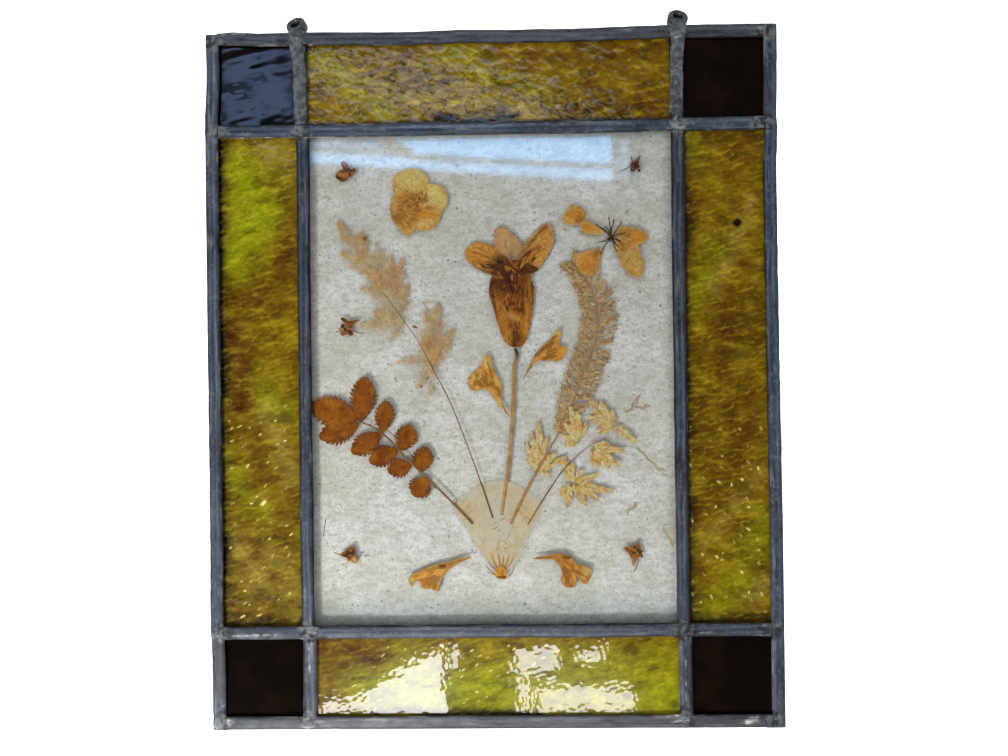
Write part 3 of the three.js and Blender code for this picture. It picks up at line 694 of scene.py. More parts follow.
# The glint rows entry (lean, x range, z range) places painted glints; sparkle makes them denser and
# brighter
glassPieces = {
    "border_glass_left": {
        "step": 0.58, "cell": 2.8, "turn": 32, "grain": 6, "relief": 0.2, "seed": 101, "dim": 0.35,
        "paintedGlints": (38, (-130, -98), (54, 160)),
    },
    "border_glass_right": {
        "step": 0.58, "cell": 2.8, "turn": -50, "grain": -12, "relief": 0.2, "seed": 103, "dim": 0.6,
        "paintedGlints": (-48, (96, 129), (54, 150)),
    },
    "border_glass_top": {
        "step": 0.53, "cell": 5.0, "turn": -24, "grain": -16, "relief": 0.42, "seed": 105,
        "creased": True, "dim": 0.35,
    },
    "border_glass_bottom": {
        "step": 0.5, "cell": 2.6, "turn": 15, "grain": 10, "relief": 0.07, "seed": 107, "dim": 0.2,
        "paintedGlints": (30, (-60, 84), (8, 40)), "sparkle": 1.6,
    },
    "corner_glass_top_left": {"step": 0.6, "cell": 6.0, "turn": 12, "relief": 0.07, "seed": 109},
    "corner_glass_top_right": {"step": 0.9, "cell": 12.0, "turn": 25, "relief": 0.05, "seed": 111},
    "corner_glass_bottom_left": {"step": 0.9, "cell": 12.0, "turn": 65, "relief": 0.05, "seed": 113},
    "corner_glass_bottom_right": {"step": 0.9, "cell": 12.0, "turn": 80, "relief": 0.10, "seed": 115},
}


def glassRelief(x, z, look, corner):
    turn = math.radians(look["turn"])
    along = x * math.cos(turn) + z * math.sin(turn)
    across = z * math.cos(turn) - x * math.sin(turn)
    if corner:
        return look["relief"] * layeredNoise(along * 0.55, across * 1.5, look["cell"], look["seed"], 2)
    if look.get("creased"):
        folds = layeredNoise(along * 0.6, across * 1.2, look["cell"], look["seed"])
        return look["relief"] * np.abs(folds) ** 0.8
    cells, _ = cellField(along, across, look["cell"], look["seed"])
    dimple = look["relief"] * np.minimum(cells * 1.25, 1.0) ** 2
    strength = 0.65 + 0.5 * layeredNoise(x, z, 26.0, look["seed"] + 5)
    return dimple * np.clip(strength, 0.25, 1.2) + 0.08 * layeredNoise(x, z, 11.0, look["seed"] + 9)


# A pane with a fine relief grid in front and a coarser flat grid behind, its rim closed between them
def glassSlab(name, look, material, corner):
    low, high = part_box(name)
    x0, z0 = low.x * 1000 - panelShift[0], low.z * 1000 - panelShift[2]
    x1, z1 = high.x * 1000 - panelShift[0], high.z * 1000 - panelShift[2]
    coarse = 4
    wide = coarse * max(2, int(round((x1 - x0) / look["step"] / coarse)))
    tall = coarse * max(2, int(round((z1 - z0) / look["step"] / coarse)))
    gx, gz = np.meshgrid(np.linspace(x0, x1, wide + 1), np.linspace(z0, z1, tall + 1))
    front = np.stack([gx, depths["stripFront"] - glassRelief(gx, gz, look, corner), gz],
                     axis=2).reshape(-1, 3)
    bx, bz = gx[::coarse, ::coarse], gz[::coarse, ::coarse]
    back = np.stack([bx, np.full(bx.shape, depths["stripBack"]), bz], axis=2).reshape(-1, 3)
    row = wide + 1
    backRow = wide // coarse + 1
    base = len(front)
    faces = []
    for j in range(tall):
        for i in range(wide):
            a = j * row + i
            faces.append((a, a + 1, a + row + 1, a + row))
    for j in range(tall // coarse):
        for i in range(wide // coarse):
            a = base + j * backRow + i
            faces.append((a, a + backRow, a + backRow + 1, a + 1))
    for i in range(wide // coarse):
        for edge in (0, tall):
            fine = [edge * row + i * coarse + k for k in range(coarse + 1)]
            far = base + (edge // coarse) * backRow + i
            faces.append(tuple(fine + [far + 1, far]))
    for j in range(tall // coarse):
        for edge in (0, wide):
            fine = [(j * coarse + k) * row + edge for k in range(coarse + 1)]
            far = base + j * backRow + edge // coarse
            faces.append(tuple(fine + [far + backRow, far]))
    points = np.concatenate([front, back])
    x, z = points[:, 0], points[:, 2]
    marks = {label: strokesAt(warpX(points), warpZ(points), strokes, 1.6) for label, strokes in
             glassStrokes.get(name, {}).items()}
    if not corner:
        marks["ridge"] = paintedCurlHighlights(x, z, look)
        turn = math.radians(look["grain"])
        along, across = x * math.cos(turn) + z * math.sin(turn), z * math.cos(turn) - x * math.sin(turn)
        along = along + 1.1 * layeredNoise(x, z, 5.0, look["seed"] + 43)
        across = across + 1.1 * layeredNoise(z, x, 5.0, 45)
        patch = layeredNoise(along * 0.5, across, 3.6, look["seed"] + 41)
        marks["light"] = smoothStep(0.05, 0.6, patch)
        marks["shade"] = np.clip(look["dim"] + smoothStep(0.1, 0.6, -patch), 0, 1)
        marks["paintedGlintAndScratch"] = strokesAt(x, z, paintedGlintStrokes(look) + glassScratches.get(name, []), 0.8)
        marks["pit"] = np.minimum(strokesAt(x, z, glassPits.get(name, [])), 1)
        if look.get("creased"):
            crease = layeredNoise(along * 0.7, across, 3.6, look["seed"] + 47)
            region = 1 - smoothStep(-4, 8, z - 318 + 0.24 * x)
            marks["pit"] = np.maximum(marks["pit"], 0.75 * region * np.exp(-(crease / 0.07) ** 2))
    meshPiece(f"{name}_sheet", points, faces, material, marks, 40, [name])


# Painted highlights: short bright curls along the lower sides of the hammered cells, broken up by noise
def paintedCurlHighlights(x, z, look):
    wobble = layeredNoise(x, z, 3.6, look["seed"] + 31)
    along = (x + 0.35 * z) * 0.62 + wobble
    across = z - 0.25 * x + wobble
    cells, below = cellField(along, across, look["cell"] * 0.95, look["seed"] + 33)
    broken = 0.6 + 0.9 * layeredNoise(x, z, 4.5, look["seed"] + 35)
    curl = smoothStep(0.25, 0.6, cells) * smoothStep(-0.05, 0.4, below)
    return np.clip(curl * broken, 0, 1)


# Painted glints: small bright dashes in leaning rows about 6.5 mm apart
def paintedGlintStrokes(look):
    if "paintedGlints" not in look:
        return []
    lean, (x0, x1), (z0, z1) = look["paintedGlints"]
    rng = np.random.RandomState(look["seed"] + 51)
    slope = math.tan(math.radians(34))
    strokes = []
    for x in np.arange(x0, x1, 4.6):
        for row in np.arange(z0 - 30, z1, 5.8):
            spot = x + 3.6 * (rng.rand() - 0.5), row + (x - x0) * slope + 3.4 * (rng.rand() - 0.5)
            strength = rng.rand()
            turn = math.radians(lean + 50 * (rng.rand() - 0.5))
            reach = 0.5 + 1.2 * rng.rand()
            if z0 < spot[1] < z1 and strength > 0.5 / look.get("sparkle", 1):
                end = spot[0] + reach * math.cos(turn), spot[1] + reach * math.sin(turn)
                strokes.append((*spot, *end, 0.5 + 0.25 * rng.rand(),
                                0.8 * strength ** (3 / look.get("sparkle", 1))))
    return strokes


# Bright scratches and curls that go into the painted glint mark (the curls are painted glints), and pits on
# the strips
glassScratches = {
    "border_glass_left": [(-114.5, 110, -113.4, 111, 2.0, 0.7), (-125.6, 54.4, -124, 55.4, 0.8, 0.7),
        (-117.4, 55.2, -115.8, 55.8, 0.8, 0.6)],
}
glassPits = {
    "border_glass_right": [(118.9, 244.3, 119.3, 244.7, 3.6, 2.2), (95, 271, 104, 271.4, 0.9, 0.5),
        (104, 271.4, 113, 274, 0.9, 0.5), (113, 274, 121, 278.6, 0.9, 0.55),
        (121, 278.6, 129, 279.4, 0.8, 0.4), (119.8, 170, 117, 156, 0.8, 0.4),
        (117, 156, 114.6, 145, 1.2, 0.6)],
    "border_glass_left": [(-128, 273, -127.6, 273.2, 1.0, 0.8), (-121, 249, -120.6, 249, 1.0, 0.8),
        (-129, 238, -119.5, 243.5, 0.7, 0.4)],
    "border_glass_top": [(-28, 297, -20, 298.4, 0.8, 0.9), (-20, 298.4, -12, 296.6, 0.9, 0.9),
        (-12, 296.6, -2, 298.6, 0.9, 0.9), (-2, 298.6, 6, 297, 0.8, 0.9), (6, 297, 12, 298, 0.7, 0.8)],
}


def warpX(points):
    return points[:, 0] + 3.2 * layeredNoise(points[:, 0], points[:, 2], 15.0, 61)


def warpZ(points):
    return points[:, 2] + 3.2 * layeredNoise(points[:, 0], points[:, 2], 15.0, 67)


# Streaks in the glass: (x0, z0, x1, z1, width, strength); the deep strokes are painted shadow and shade
# that the came casts along the strips' edges
glassStrokes = {
    "border_glass_left": {
        "lime": [(-124, 274, -113, 250, 20, 0.9), (-116, 248, -128, 232, 20, 0.9),
            (-121, 170, -106, 158, 12, 0.7), (-126, 262, -126, 230, 14, 0.7),
            (-132, 128, -114, 108, 10, 0.4)],
        "brown": [(-98, 244, -104, 222, 12, 0.7), (-132, 207, -111, 214, 9, 0.6),
            (-128, 194, -124, 160, 17, 0.9), (-126, 146, -112, 120, 10, 0.5),
            (-101, 131, -96, 105, 8, 0.6), (-112, 222, -100, 204, 10, 0.4)],
        "milky": [(-110, 157, -98, 122, 10, 0.45), (-130, 90, -115, 70, 12, 0.5),
            (-110, 283, -109, 282, 7, 0.7), (-103, 278, -102, 277, 5, 0.5), (-112, 84, -97, 66, 14, 0.35)],
        "deep": [(-133, 51, -96, 53, 6, 0.6), (-135, 50, -135, 289, 8, 1.0)],
    },
    "border_glass_right": {
        "lime": [(122, 82, 131, 99, 12, 0.6), (101, 56, 117, 67, 14, 0.6), (97, 281, 98, 279, 10, 0.5),
            (97, 209, 108, 231, 12, 0.4)],
        "brown": [(96, 247, 99, 260, 9, 0.6), (108, 183, 115, 208, 12, 0.5), (95, 140, 104, 160, 10, 0.5),
            (121, 140, 129, 160, 10, 0.5), (95, 101, 99, 112, 9, 0.8), (97, 270, 126, 285, 14, 0.3)],
        "milky": [(128, 255, 108, 214, 7, 0.35), (130, 125, 100, 87, 7, 0.35), (122, 60, 130, 68, 8, 0.5)],
        "deep": [(94, 51, 131, 53, 6, 0.7), (94, 286, 131, 287, 6, 0.3), (92.6, 50, 92.6, 289, 7, 0.9)],
    },
    "border_glass_top": {
        "lime": [(-86, 330, -50, 300, 8, 0.4), (-20, 330, 20, 312, 10, 0.3)],
        "brown": [(10, 328, 84, 328, 14, 0.5), (-30, 298, 10, 297, 5, 0.7), (30, 300, 84, 304, 12, 0.5)],
        "milky": [(-90, 322, -40, 308, 14, 0.4), (-40, 308, 30, 300, 10, 0.3)],
        "deep": [(-28, 297, 12, 297.5, 3, 0.9)],
    },
    "border_glass_bottom": {
        "lime": [(-60, 20, 84, 16, 26, 0.75), (30, 30, 84, 30, 16, 0.5)],
        "brown": [(-87, 40, -58, 32, 13, 0.9), (-80, 32, -60, 28, 10, 0.5), (-86, 26, -76, 22, 8, 0.6)],
        "milky": [(16, 18, 60, 12, 14, 0.4)], "deep": [(-60, 7.4, 20, 7.2, 3.4, 0.9)],
    },
}


def streakyMaterial(name, tones):
    finish = Finish(name)
    tones = {label: linear(*tone) for label, tone in tones.items()}
    streak = finish.range(finish.noise(38.0, 4.0, 0.62, (1.0, 1.0, 0.45)), 0.32, 0.68)
    swirl = finish.range(finish.noise(120.0, 3.0, 0.6), 0.35, 0.7)
    colour = finish.mix(streak, tones["amber"], tones["gold"])
    colour = finish.over(colour, tones["olive"], swirl, 0.35)
    # deep paints the came's shadow on the glass near black
    for label in ("lime", "brown", "milky", "deep"):
        colour = finish.mix(finish.mark(label), colour, tones[label])
    colour = finish.over(colour, tones["light"], finish.mark("light"), 0.24, "SCREEN")
    colour = finish.over(colour, tones["shade"], finish.mark("shade"), 0.7, "MULTIPLY")
    grain = finish.range(finish.noise(420.0, 3.0, 0.6, (1.0, 1.0, 1.5)), 0.36, 0.64, 0.72, 1.0)
    colour = finish.mix(1.0, colour, grain, "MULTIPLY")
    # ridge: painted highlight curls on the hammered cells
    colour = finish.over(colour, tones["ridge"], finish.mark("ridge"), 0.8, "SCREEN")
    # painted glints and bright scratches
    colour = finish.mix(finish.mark("paintedGlintAndScratch"), colour, tones["paintedGlintAndScratch"])
    colour = finish.mix(finish.mark("pit"), colour, tones["pit"])
    finish.colour(colour)
    finish.set(Roughness=0.3, **{"Coat Weight": 0.6, "Coat Roughness": 0.03, "Specular IOR Level": 0.08})
    glow = finish.node("ShaderNodeBsdfTranslucent")
    finish.link(colour, glow.inputs["Color"])
    finish.link(finish.blend(0.22, finish.shader.outputs["BSDF"], glow.outputs["BSDF"]),
                finish.output.inputs["Surface"])
    return finish.material


def cornerMaterial(name, dark, warm):
    finish = Finish(name)
    finish.colour(finish.mix(finish.range(finish.noise(60.0, 3.0), 0.45, 0.7), dark, warm))
    finish.set(Roughness=0.075, **{"Specular IOR Level": 0.5})
    return finish.material


def buildGlass():
    streaky = streakyMaterial("streakyGlass", {
        "amber": (86, 62, 0), "gold": (112, 86, 0), "olive": (98, 94, 0), "lime": (114, 124, 0),
        "brown": (74, 38, 0),
        # deep: tone of the painted came shadow
        "milky": (138, 122, 50), "deep": (10, 9, 2), "light": (150, 136, 30), "shade": (150, 124, 70),
        "ridge": (88, 78, 8), "paintedGlintAndScratch": (232, 218, 130), "pit": (16, 12, 2)})
    smoky = cornerMaterial("smokyGlass", linear(4, 2, 1), linear(13, 5, 2))
    for name, look in glassPieces.items():
        corner = name.startswith("corner")
        glassSlab(name, look, smoky if corner else streaky,
                  corner)
    print("border and corner glass built")


def clearMaterial():
    finish = Finish("clearPane")
    finish.tree.nodes.remove(finish.shader)
    clear = finish.node("ShaderNodeBsdfTransparent")
    tint = finish.mix(finish.range(finish.noise(90.0, 3.0), 0.4, 0.75), (0.998, 0.999, 0.998),
                      (0.99, 0.994, 0.99))
    finish.link(tint, clear.inputs["Color"])
    gloss = finish.node("ShaderNodeBsdfGlossy")
    gloss.inputs["Roughness"].default_value = 0.045
    edge = finish.node("ShaderNodeFresnel")
    edge.inputs["IOR"].default_value = 1.5
    shaded = finish.blend(edge.outputs["Fac"], clear.outputs["BSDF"], gloss.outputs["BSDF"])
    finish.link(shaded, finish.output.inputs["Surface"])
    return finish.material


def sheetMaterial():
    finish = Finish("mottledSheet")
    cloud = finish.range(finish.noise(36.0, 4.0, 0.6, (1.0, 1.0, 1.3)), 0.34, 0.68)
    warm = finish.range(finish.noise(19.0, 3.0, 0.5), 0.4, 0.65)
    smear = finish.range(finish.noise(240.0, 5.0, 0.7, (1.0, 1.0, 2.0)), 0.42, 0.64)
    grain = finish.range(finish.noise(950.0, 4.0, 0.75), 0.46, 0.66)
    speck = finish.range(finish.noise(620.0, 2.0, 0.5), 0.68, 0.74)
    colour = finish.mix(cloud, linear(230, 230, 222), linear(255, 255, 254))
    colour = finish.over(colour, linear(232, 222, 200), warm, 0.3)
    colour = finish.over(colour, linear(190, 186, 170), smear, 0.5)
    colour = finish.over(colour, linear(170, 164, 146), grain, 0.5)
    colour = finish.over(colour, linear(96, 90, 74), speck, 0.7)
    height = finish.node("ShaderNodeSeparateXYZ")
    finish.link(finish.place(), height.inputs["Vector"])
    # Painted shadow: darker and bluer towards the bottom edge, where the bottom came's shadow falls on the
    # sheet
    low = finish.range(height.outputs["Z"], -0.294, -0.272, 1.0, 0.0)
    colour = finish.mix(low, colour, (0.62, 0.67, 0.69), "MULTIPLY")
    # Painted shade: the back face, turned to the bright backdrop, is darkened
    shadedBackNormal = finish.node("ShaderNodeSeparateXYZ")
    finish.link(finish.node("ShaderNodeNewGeometry").outputs["Normal"], shadedBackNormal.inputs["Vector"])
    colour = finish.mix(finish.range(shadedBackNormal.outputs["Y"], 0.4, 0.6), colour, (0.42, 0.41, 0.37), "MULTIPLY")
    finish.colour(colour)
    finish.set(Roughness=0.85)
    return finish.material


def dressNode(name, material):
    mesh = nodes[name].data
    mesh.materials.clear()
    mesh.materials.append(material)


def buildPanes():
    clear = clearMaterial()
    dressNode("front_pane", clear)
    dressNode("back_pane", clear)
    dressNode("backing_sheet", sheetMaterial())
    print("panes and sheet dressed")


# Smooth curve through given points, closed or open
def smoothCurve(points, perSpan=6, closed=False):
    spots = [np.array(p, float) for p in points]
    count = len(spots)
    curve = []
    for i in range(count if closed else count - 1):
        if closed:
            p0, p1, p2, p3 = (spots[(i + k) % count] for k in (-1, 0, 1, 2))
        else:
            p0, p1, p2, p3 = (spots[min(max(i + k, 0), count - 1)] for k in (-1, 0, 1, 2))
        for step in range(perSpan):
            t = step / perSpan
            curve.append(0.5 * (2 * p1 + (p2 - p0) * t + (2 * p0 - 5 * p1 + 4 * p2 - p3) * t * t
                                + (3 * p1 - p0 - 3 * p2 + p3) * t ** 3))
    if not closed:
        curve.append(spots[-1])
    return np.array(curve)


def evenLoop(curve, spacing, closed=True):
    ring = np.vstack([curve, curve[:1]]) if closed else curve
    lengths = np.concatenate([[0], np.cumsum(np.hypot(*np.diff(ring, axis=0).T))])
    count = max(6, int(lengths[-1] / spacing))
    places = np.linspace(0, lengths[-1], count, endpoint=not closed)
    return np.stack([np.interp(places, lengths, ring[:, k]) for k in (0, 1)], axis=1)


def ragged(loop, amount, size, seed):
    ahead = np.roll(loop, -1, axis=0) - np.roll(loop, 1, axis=0)
    ahead = ahead / (np.hypot(ahead[:, 0], ahead[:, 1])[:, None] + 1e-9)
    push = amount * layeredNoise(loop[:, 0], loop[:, 1], size, seed)
    return loop + np.stack([ahead[:, 1], -ahead[:, 0]], axis=1) * push[:, None]


def awayFromLoop(x, z, loop):
    nearest = np.full(x.shape, 1e9)
    for (ax, az), (bx, bz) in zip(loop, np.roll(loop, -1, axis=0)):
        dx, dz = bx - ax, bz - az
        share = np.clip(((x - ax) * dx + (z - az) * dz) / (dx * dx + dz * dz + 1e-12), 0, 1)
        nearest = np.minimum(nearest, np.hypot(x - ax - share * dx, z - az - share * dz))
    return nearest


# Points and triangles of a flat outline filled with an even net
def fillLoop(loop, spacing, seed=1):
    rng = np.random.RandomState(seed)
    low, high = loop.min(axis=0), loop.max(axis=0)
    gx, gz = np.meshgrid(np.arange(low[0], high[0], spacing), np.arange(low[1], high[1], spacing * 0.87))
    gx = gx + spacing * 0.5 * (np.arange(gx.shape[0]) % 2)[:, None]
    inner = np.stack([gx.ravel(), gz.ravel()], axis=1) + (rng.rand(gx.size, 2) - 0.5) * spacing * 0.3
    x, z = inner[:, 0], inner[:, 1]
    inside = np.zeros(len(inner), bool)
    for (ax, az), (bx, bz) in zip(loop, np.roll(loop, -1, axis=0)):
        crosses = (az > z) != (bz > z)
        inside ^= crosses & (x < (bx - ax) * (z - az) / (bz - az + 1e-12) + ax)
    inner = inner[inside]
    inner = inner[awayFromLoop(inner[:, 0], inner[:, 1], loop) > spacing * 0.55]
    flat = [Vector(p) for p in np.vstack([loop, inner])]
    points, _, triangles, _, _, _ = delaunay_2d_cdt(flat, [], [list(range(len(loop)))], 1, 1e-5)
    return np.array([tuple(p) for p in points]), [tuple(t) for t in triangles]


# Gathers many closed shells, strands and blades into one piece
class Batch:
    def __init__(self):
        self.points = []
        self.faces = []
        self.marks = {}
        self.count = 0

    def add(self, points, faces, **marks):
        points = np.asarray(points, float)
        self.faces += [tuple(v + self.count for v in face) for face in faces]
        for label in {**self.marks, **marks}:
            if label not in self.marks:
                self.marks[label] = [np.zeros(self.count)]
            value = marks.get(label, 0.0)
            self.marks[label].append(np.broadcast_to(np.asarray(value, float), (len(points),)).copy())
        self.points.append(points)
        self.count += len(points)

    # A thin leaf of the given outline; each mark is a rule of x, z and the distance to the rim
    def shell(self, loop, spacing, depth, thickness=0.2, relief=None, seed=1, marks=None):
        flat, triangles = fillLoop(loop, spacing, seed)
        x, z = flat[:, 0], flat[:, 1]
        away = awayFromLoop(x, z, loop)
        lift = relief(x, z) if relief else 0.0
        near = np.stack([x, depth + lift - thickness / 2, z], axis=1)
        back = np.stack([x, depth + lift + thickness / 2, z], axis=1)
        size = len(flat)
        used = {}
        for a, b, c in triangles:
            for edge in ((a, b), (b, c), (c, a)):
                key = tuple(sorted(edge))
                used[key] = None if key in used else edge
        faces = list(triangles) + [(a + size, c + size, b + size) for a, b, c in triangles]
        faces += [(e[1], e[0], e[0] + size, e[1] + size) for e in used.values() if e]
        values = {label: np.tile(rule(x, z, away) + 0 * x, 2) for label, rule in (marks or {}).items()}
        self.add(np.vstack([near, back]), faces, **values)

    # A flattened tube along a route (x, y, z), as wide as the given widths
    def strand(self, route, widths, flat=0.6, sides=5, **marks):
        route = np.asarray(route, float)
        steps = len(route)
        widths = np.broadcast_to(widths, (steps,))
        ahead = np.gradient(route, axis=0)
        sideways = np.stack([-ahead[:, 2], ahead[:, 1] * 0, ahead[:, 0]], axis=1)
        sideways /= np.linalg.norm(sideways, axis=1)[:, None] + 1e-9
        rings = []
        for k in range(sides):
            turn = 2 * math.pi * k / sides
            out = sideways * (math.cos(turn) * widths / 2)[:, None]
            out[:, 1] += math.sin(turn) * widths / 2 * flat
            rings.append(route + out)
        points = np.stack(rings, axis=1).reshape(-1, 3)
        faces = tubeFaces(steps, sides)
        spread = {label: np.repeat(value, sides) if np.ndim(value) else value
                  for label, value in marks.items()}
        self.add(points, faces, **spread)

    # A strand through flat (x, z) points at one depth
    def thread(self, points, widths, depth, flat=0.6, sides=4, smooth=5, **marks):
        path = smoothCurve(points, smooth)
        if np.ndim(widths):
            widths = np.linspace(widths[0], widths[1], len(path))
        self.strand(np.stack([path[:, 0], np.full(len(path), depth), path[:, 1]], axis=1), widths, flat,
                    sides, **marks)

    # A lens-shaped blade with a raised middle line
    def blade(self, base, tip, width, depth, thickness=0.16, bend=0.0, stations=6, **marks):
        base, tip = np.array(base, float), np.array(tip, float)
        along = tip - base
        length = np.hypot(*along) + 1e-9
        side = np.array([-along[1], along[0]]) / length
        shares = np.linspace(0, 1, stations)
        swell = np.maximum(np.sin(math.pi * np.clip(shares, 0.02, 0.985) ** 0.8), 0.04) ** 0.8
        bow = bend * length * 4 * shares * (1 - shares)
        middle = base + along * shares[:, None] + side * bow[:, None]
        columns = []
        for across, lift in ((-1, 0), (0, -1), (1, 0), (0, 1)):
            flat = middle + side * (across * swell * width / 2)[:, None]
            columns.append(np.stack([flat[:, 0], depth + lift * thickness / 2 * swell, flat[:, 1]], axis=1))
        points = np.stack(columns, axis=1).reshape(-1, 3)
        faces = tubeFaces(stations, 4)
        self.add(points, faces, **marks)

    def piece(self, name, material, slot, stands, sharp=50):
        marks = {label: np.concatenate(values) for label, values in self.marks.items()}
        return meshPiece(name, np.vstack(self.points), self.faces, material, marks, sharp, stands)


# Paint that reads as the given colour once it lies between the panes
def lit(tone, gain):
    return tuple(min(0.9, gain * c) for c in linear(*tone))


# A dried plant's finish: two tones by noise and a web of fine lines, then marks paint pale, bright, dark
# and veined places, and the thin mark pales a rim to the tone of the sheet
def driedFinish(name, tones, gain=1.55, glow=0.3, blotch=170.0, web=(420.0, 0.3), webTone=None):
    first, second, dark, pale, bright = (lit(tone, gain) for tone in tones)
    finish = Finish(name)
    tone = finish.mix(finish.range(finish.noise(blotch, 4.0, 0.65), 0.38, 0.62), first, second)
    for label, paint in (("bright", bright), ("pale", pale)):
        tone = finish.mix(finish.mark(label), tone, paint)
    ridge = finish.math("ABSOLUTE", finish.math("SUBTRACT", finish.noise(web[0], 3.0, 0.6), 0.5))
    line = finish.range(ridge, 0.0, 0.05, web[1], 0.0)
    tone = finish.mix(line, tone, lit(webTone, gain) if webTone else dark)
    speck = finish.range(finish.noise(1300.0, 3.0, 0.6), 0.5, 0.8)
    tone = finish.over(tone, dark, speck, 0.45)
    for label in ("dark", "vein"):
        tone = finish.mix(finish.mark(label), tone, dark)
    tone = finish.mix(finish.mark("thin"), tone,
                      finish.mix(speck, linear(206, 204, 190), linear(184, 178, 160)))
    finish.colour(tone)
    finish.set(Roughness=0.75, **{"Specular IOR Level": 0.2})
    finish.bump(finish.noise(900.0, 3.0, 0.6), 0.00018, 0.7)
    through = finish.node("ShaderNodeBsdfTranslucent")
    finish.link(tone, through.inputs["Color"])
    shaded = finish.blend(glow, finish.shader.outputs["BSDF"], through.outputs["BSDF"])
    finish.link(shaded, finish.output.inputs["Surface"])
    return finish.material


def fanVeins(base, count, seed, width=0.15, strength=0.4):
    def rule(x, z, away):
        angle = np.arctan2(z - base[1], x - base[0]) + 0.16 * layeredNoise(x, z, 4.0, seed)
        reach = np.hypot(x - base[0], z - base[1])
        wave = np.abs((angle * count / math.pi + 0.5) % 1 - 0.5)
        broken = np.clip(0.6 + 0.9 * layeredNoise(x, z, 5.0, seed + 7), 0, 1)
        return strength * broken * np.exp(-(wave / width) ** 2) * smoothStep(0.5, 3.0, reach)
    return rule


def painted(strokes, wobble=0.6, base=0.0, seed=71):
    def rule(x, z, away):
        shiftX = wobble * layeredNoise(x, z, 2.4, seed)
        shiftZ = wobble * layeredNoise(x, z, 2.4, seed + 4)
        broken = 1 + 0.45 * layeredNoise(x, z, 1.8, seed + 8)
        return np.clip(np.maximum(base, strokesAt(x + shiftX, z + shiftZ, strokes)) * broken, 0, 1)
    return rule


# The painted marks that a petal's own table names
def marksOf(petal, wobble, browned=0.0):
    return {label: painted(petal[label], wobble, browned * (label == "dark"))
            for label in ("dark", "pale", "bright") if label in petal}


# Darkest at a flower's heart and gone at the far distance, broken up like the veins
def heartShade(centre, near, far, strength, strokes=(), seed=81):
    paint = painted(strokes, 0.6)

    def rule(x, z, away):
        angle = np.arctan2(z - centre[1], x - centre[0])
        span = np.hypot(x - centre[0], z - centre[1])
        reach = span + 2.2 * gridNoise(angle * 6, span * 0.12, 1.0, seed)
        shade = strength * (1 - smoothStep(near, far, reach)) * (1 + 0.3 * layeredNoise(x, z, 1.4, seed))
        return np.clip(np.maximum(shade, paint(x, z, away)), 0, 1)
    return rule


# One petal: frilled outline with a short fringe, a slightly paler rim and veins that fan from its base
def petalInto(batch, points, look, spacing=0.45, marks=None):
    seed = look["seed"]
    soft = look.get("soft", 1.1)
    loop = ragged(evenLoop(smoothCurve(points, 6, True), spacing), look.get("ragged", 0.4), 1.2, seed)
    rules = dict(marks or {})
    inner = rules.get("pale")

    def paleRule(x, z, away):
        broken = np.clip(0.5 + 0.8 * layeredNoise(x, z, 1.6, seed + 11), 0, 1)
        rim = look.get("rim", 0.5) * np.exp(-(away / (0.7 * soft)) ** 2) * broken
        return np.maximum(rim, inner(x, z, away)) if inner else rim

    def thinRule(x, z, away):
        frayed = away + 0.4 * soft * layeredNoise(x, z, 1.6, seed + 11)
        worn = look.get("sheer", 0.0) + look.get("mottle", 0.0) * layeredNoise(x, z, 6.0, seed + 17)
        worn = np.maximum(worn, strokesAt(x, z, look.get("worn", [])))
        return np.clip(np.maximum(worn, look.get("fade", 0.0) * (1 - smoothStep(0.0, soft, frayed))), 0, 1)

    rules["pale"] = paleRule
    rules["thin"] = thinRule
    if "vein" not in rules:
        rules["vein"] = fanVeins(look["base"], look["veins"], seed)
    wave = look.get("wave", 0.13)
    batch.shell(loop, spacing, look["depth"], 0.16,
                lambda x, z: wave * layeredNoise(x, z, 4.0, seed + 2), seed, rules)
    rng = np.random.RandomState(seed)
    middle = loop.mean(axis=0)
    outward = np.roll(loop, -1, axis=0) - np.roll(loop, 1, axis=0)
    outward = np.stack([outward[:, 1], -outward[:, 0]], axis=1) / (np.hypot(*outward.T)[:, None] + 1e-9)
    if np.sum(outward * (loop - middle)) < 0:
        outward = -outward
    for spot, way in zip(loop, outward):
        if rng.rand() < look.get("fringe", 0.8):
            tip = spot + (way + 1.2 * (rng.rand(2) - 0.5)) * soft * (0.15 + 0.4 * rng.rand())
            batch.blade(spot - way * 0.4, tip, 0.3, look["depth"], 0.1, 0.0, 3, pale=0.5 * rng.rand(),
                        vein=0.3 * rng.rand())


# Crumpled folds round a spot: short blades that lean one way with some spread, painted dark as shade in the
# creases or bright as painted highlights
def foldsInto(batch, centre, spread, count, lengths, widths, lean, depth, seed, dark=0.8):
    rng = np.random.RandomState(seed)
    for _ in range(count):
        spot = np.array(centre) + (rng.rand(2) - 0.5) * spread
        turn = math.radians(lean[0] + lean[1] * (rng.rand() - 0.5) * 2)
        reach = lengths[0] + (lengths[1] - lengths[0]) * rng.rand()
        tip = spot + np.array([math.cos(turn), math.sin(turn)]) * reach
        width = widths[0] + (widths[1] - widths[0]) * rng.rand()
        shadowed = rng.rand() > 0.45
        batch.blade(spot, tip, width, depth + 0.12 * (rng.rand() - 0.5), 0.22, 0.25 * (rng.rand() - 0.5), 6,
                    dark=dark * shadowed, bright=0.7 * rng.rand() * (not shadowed))


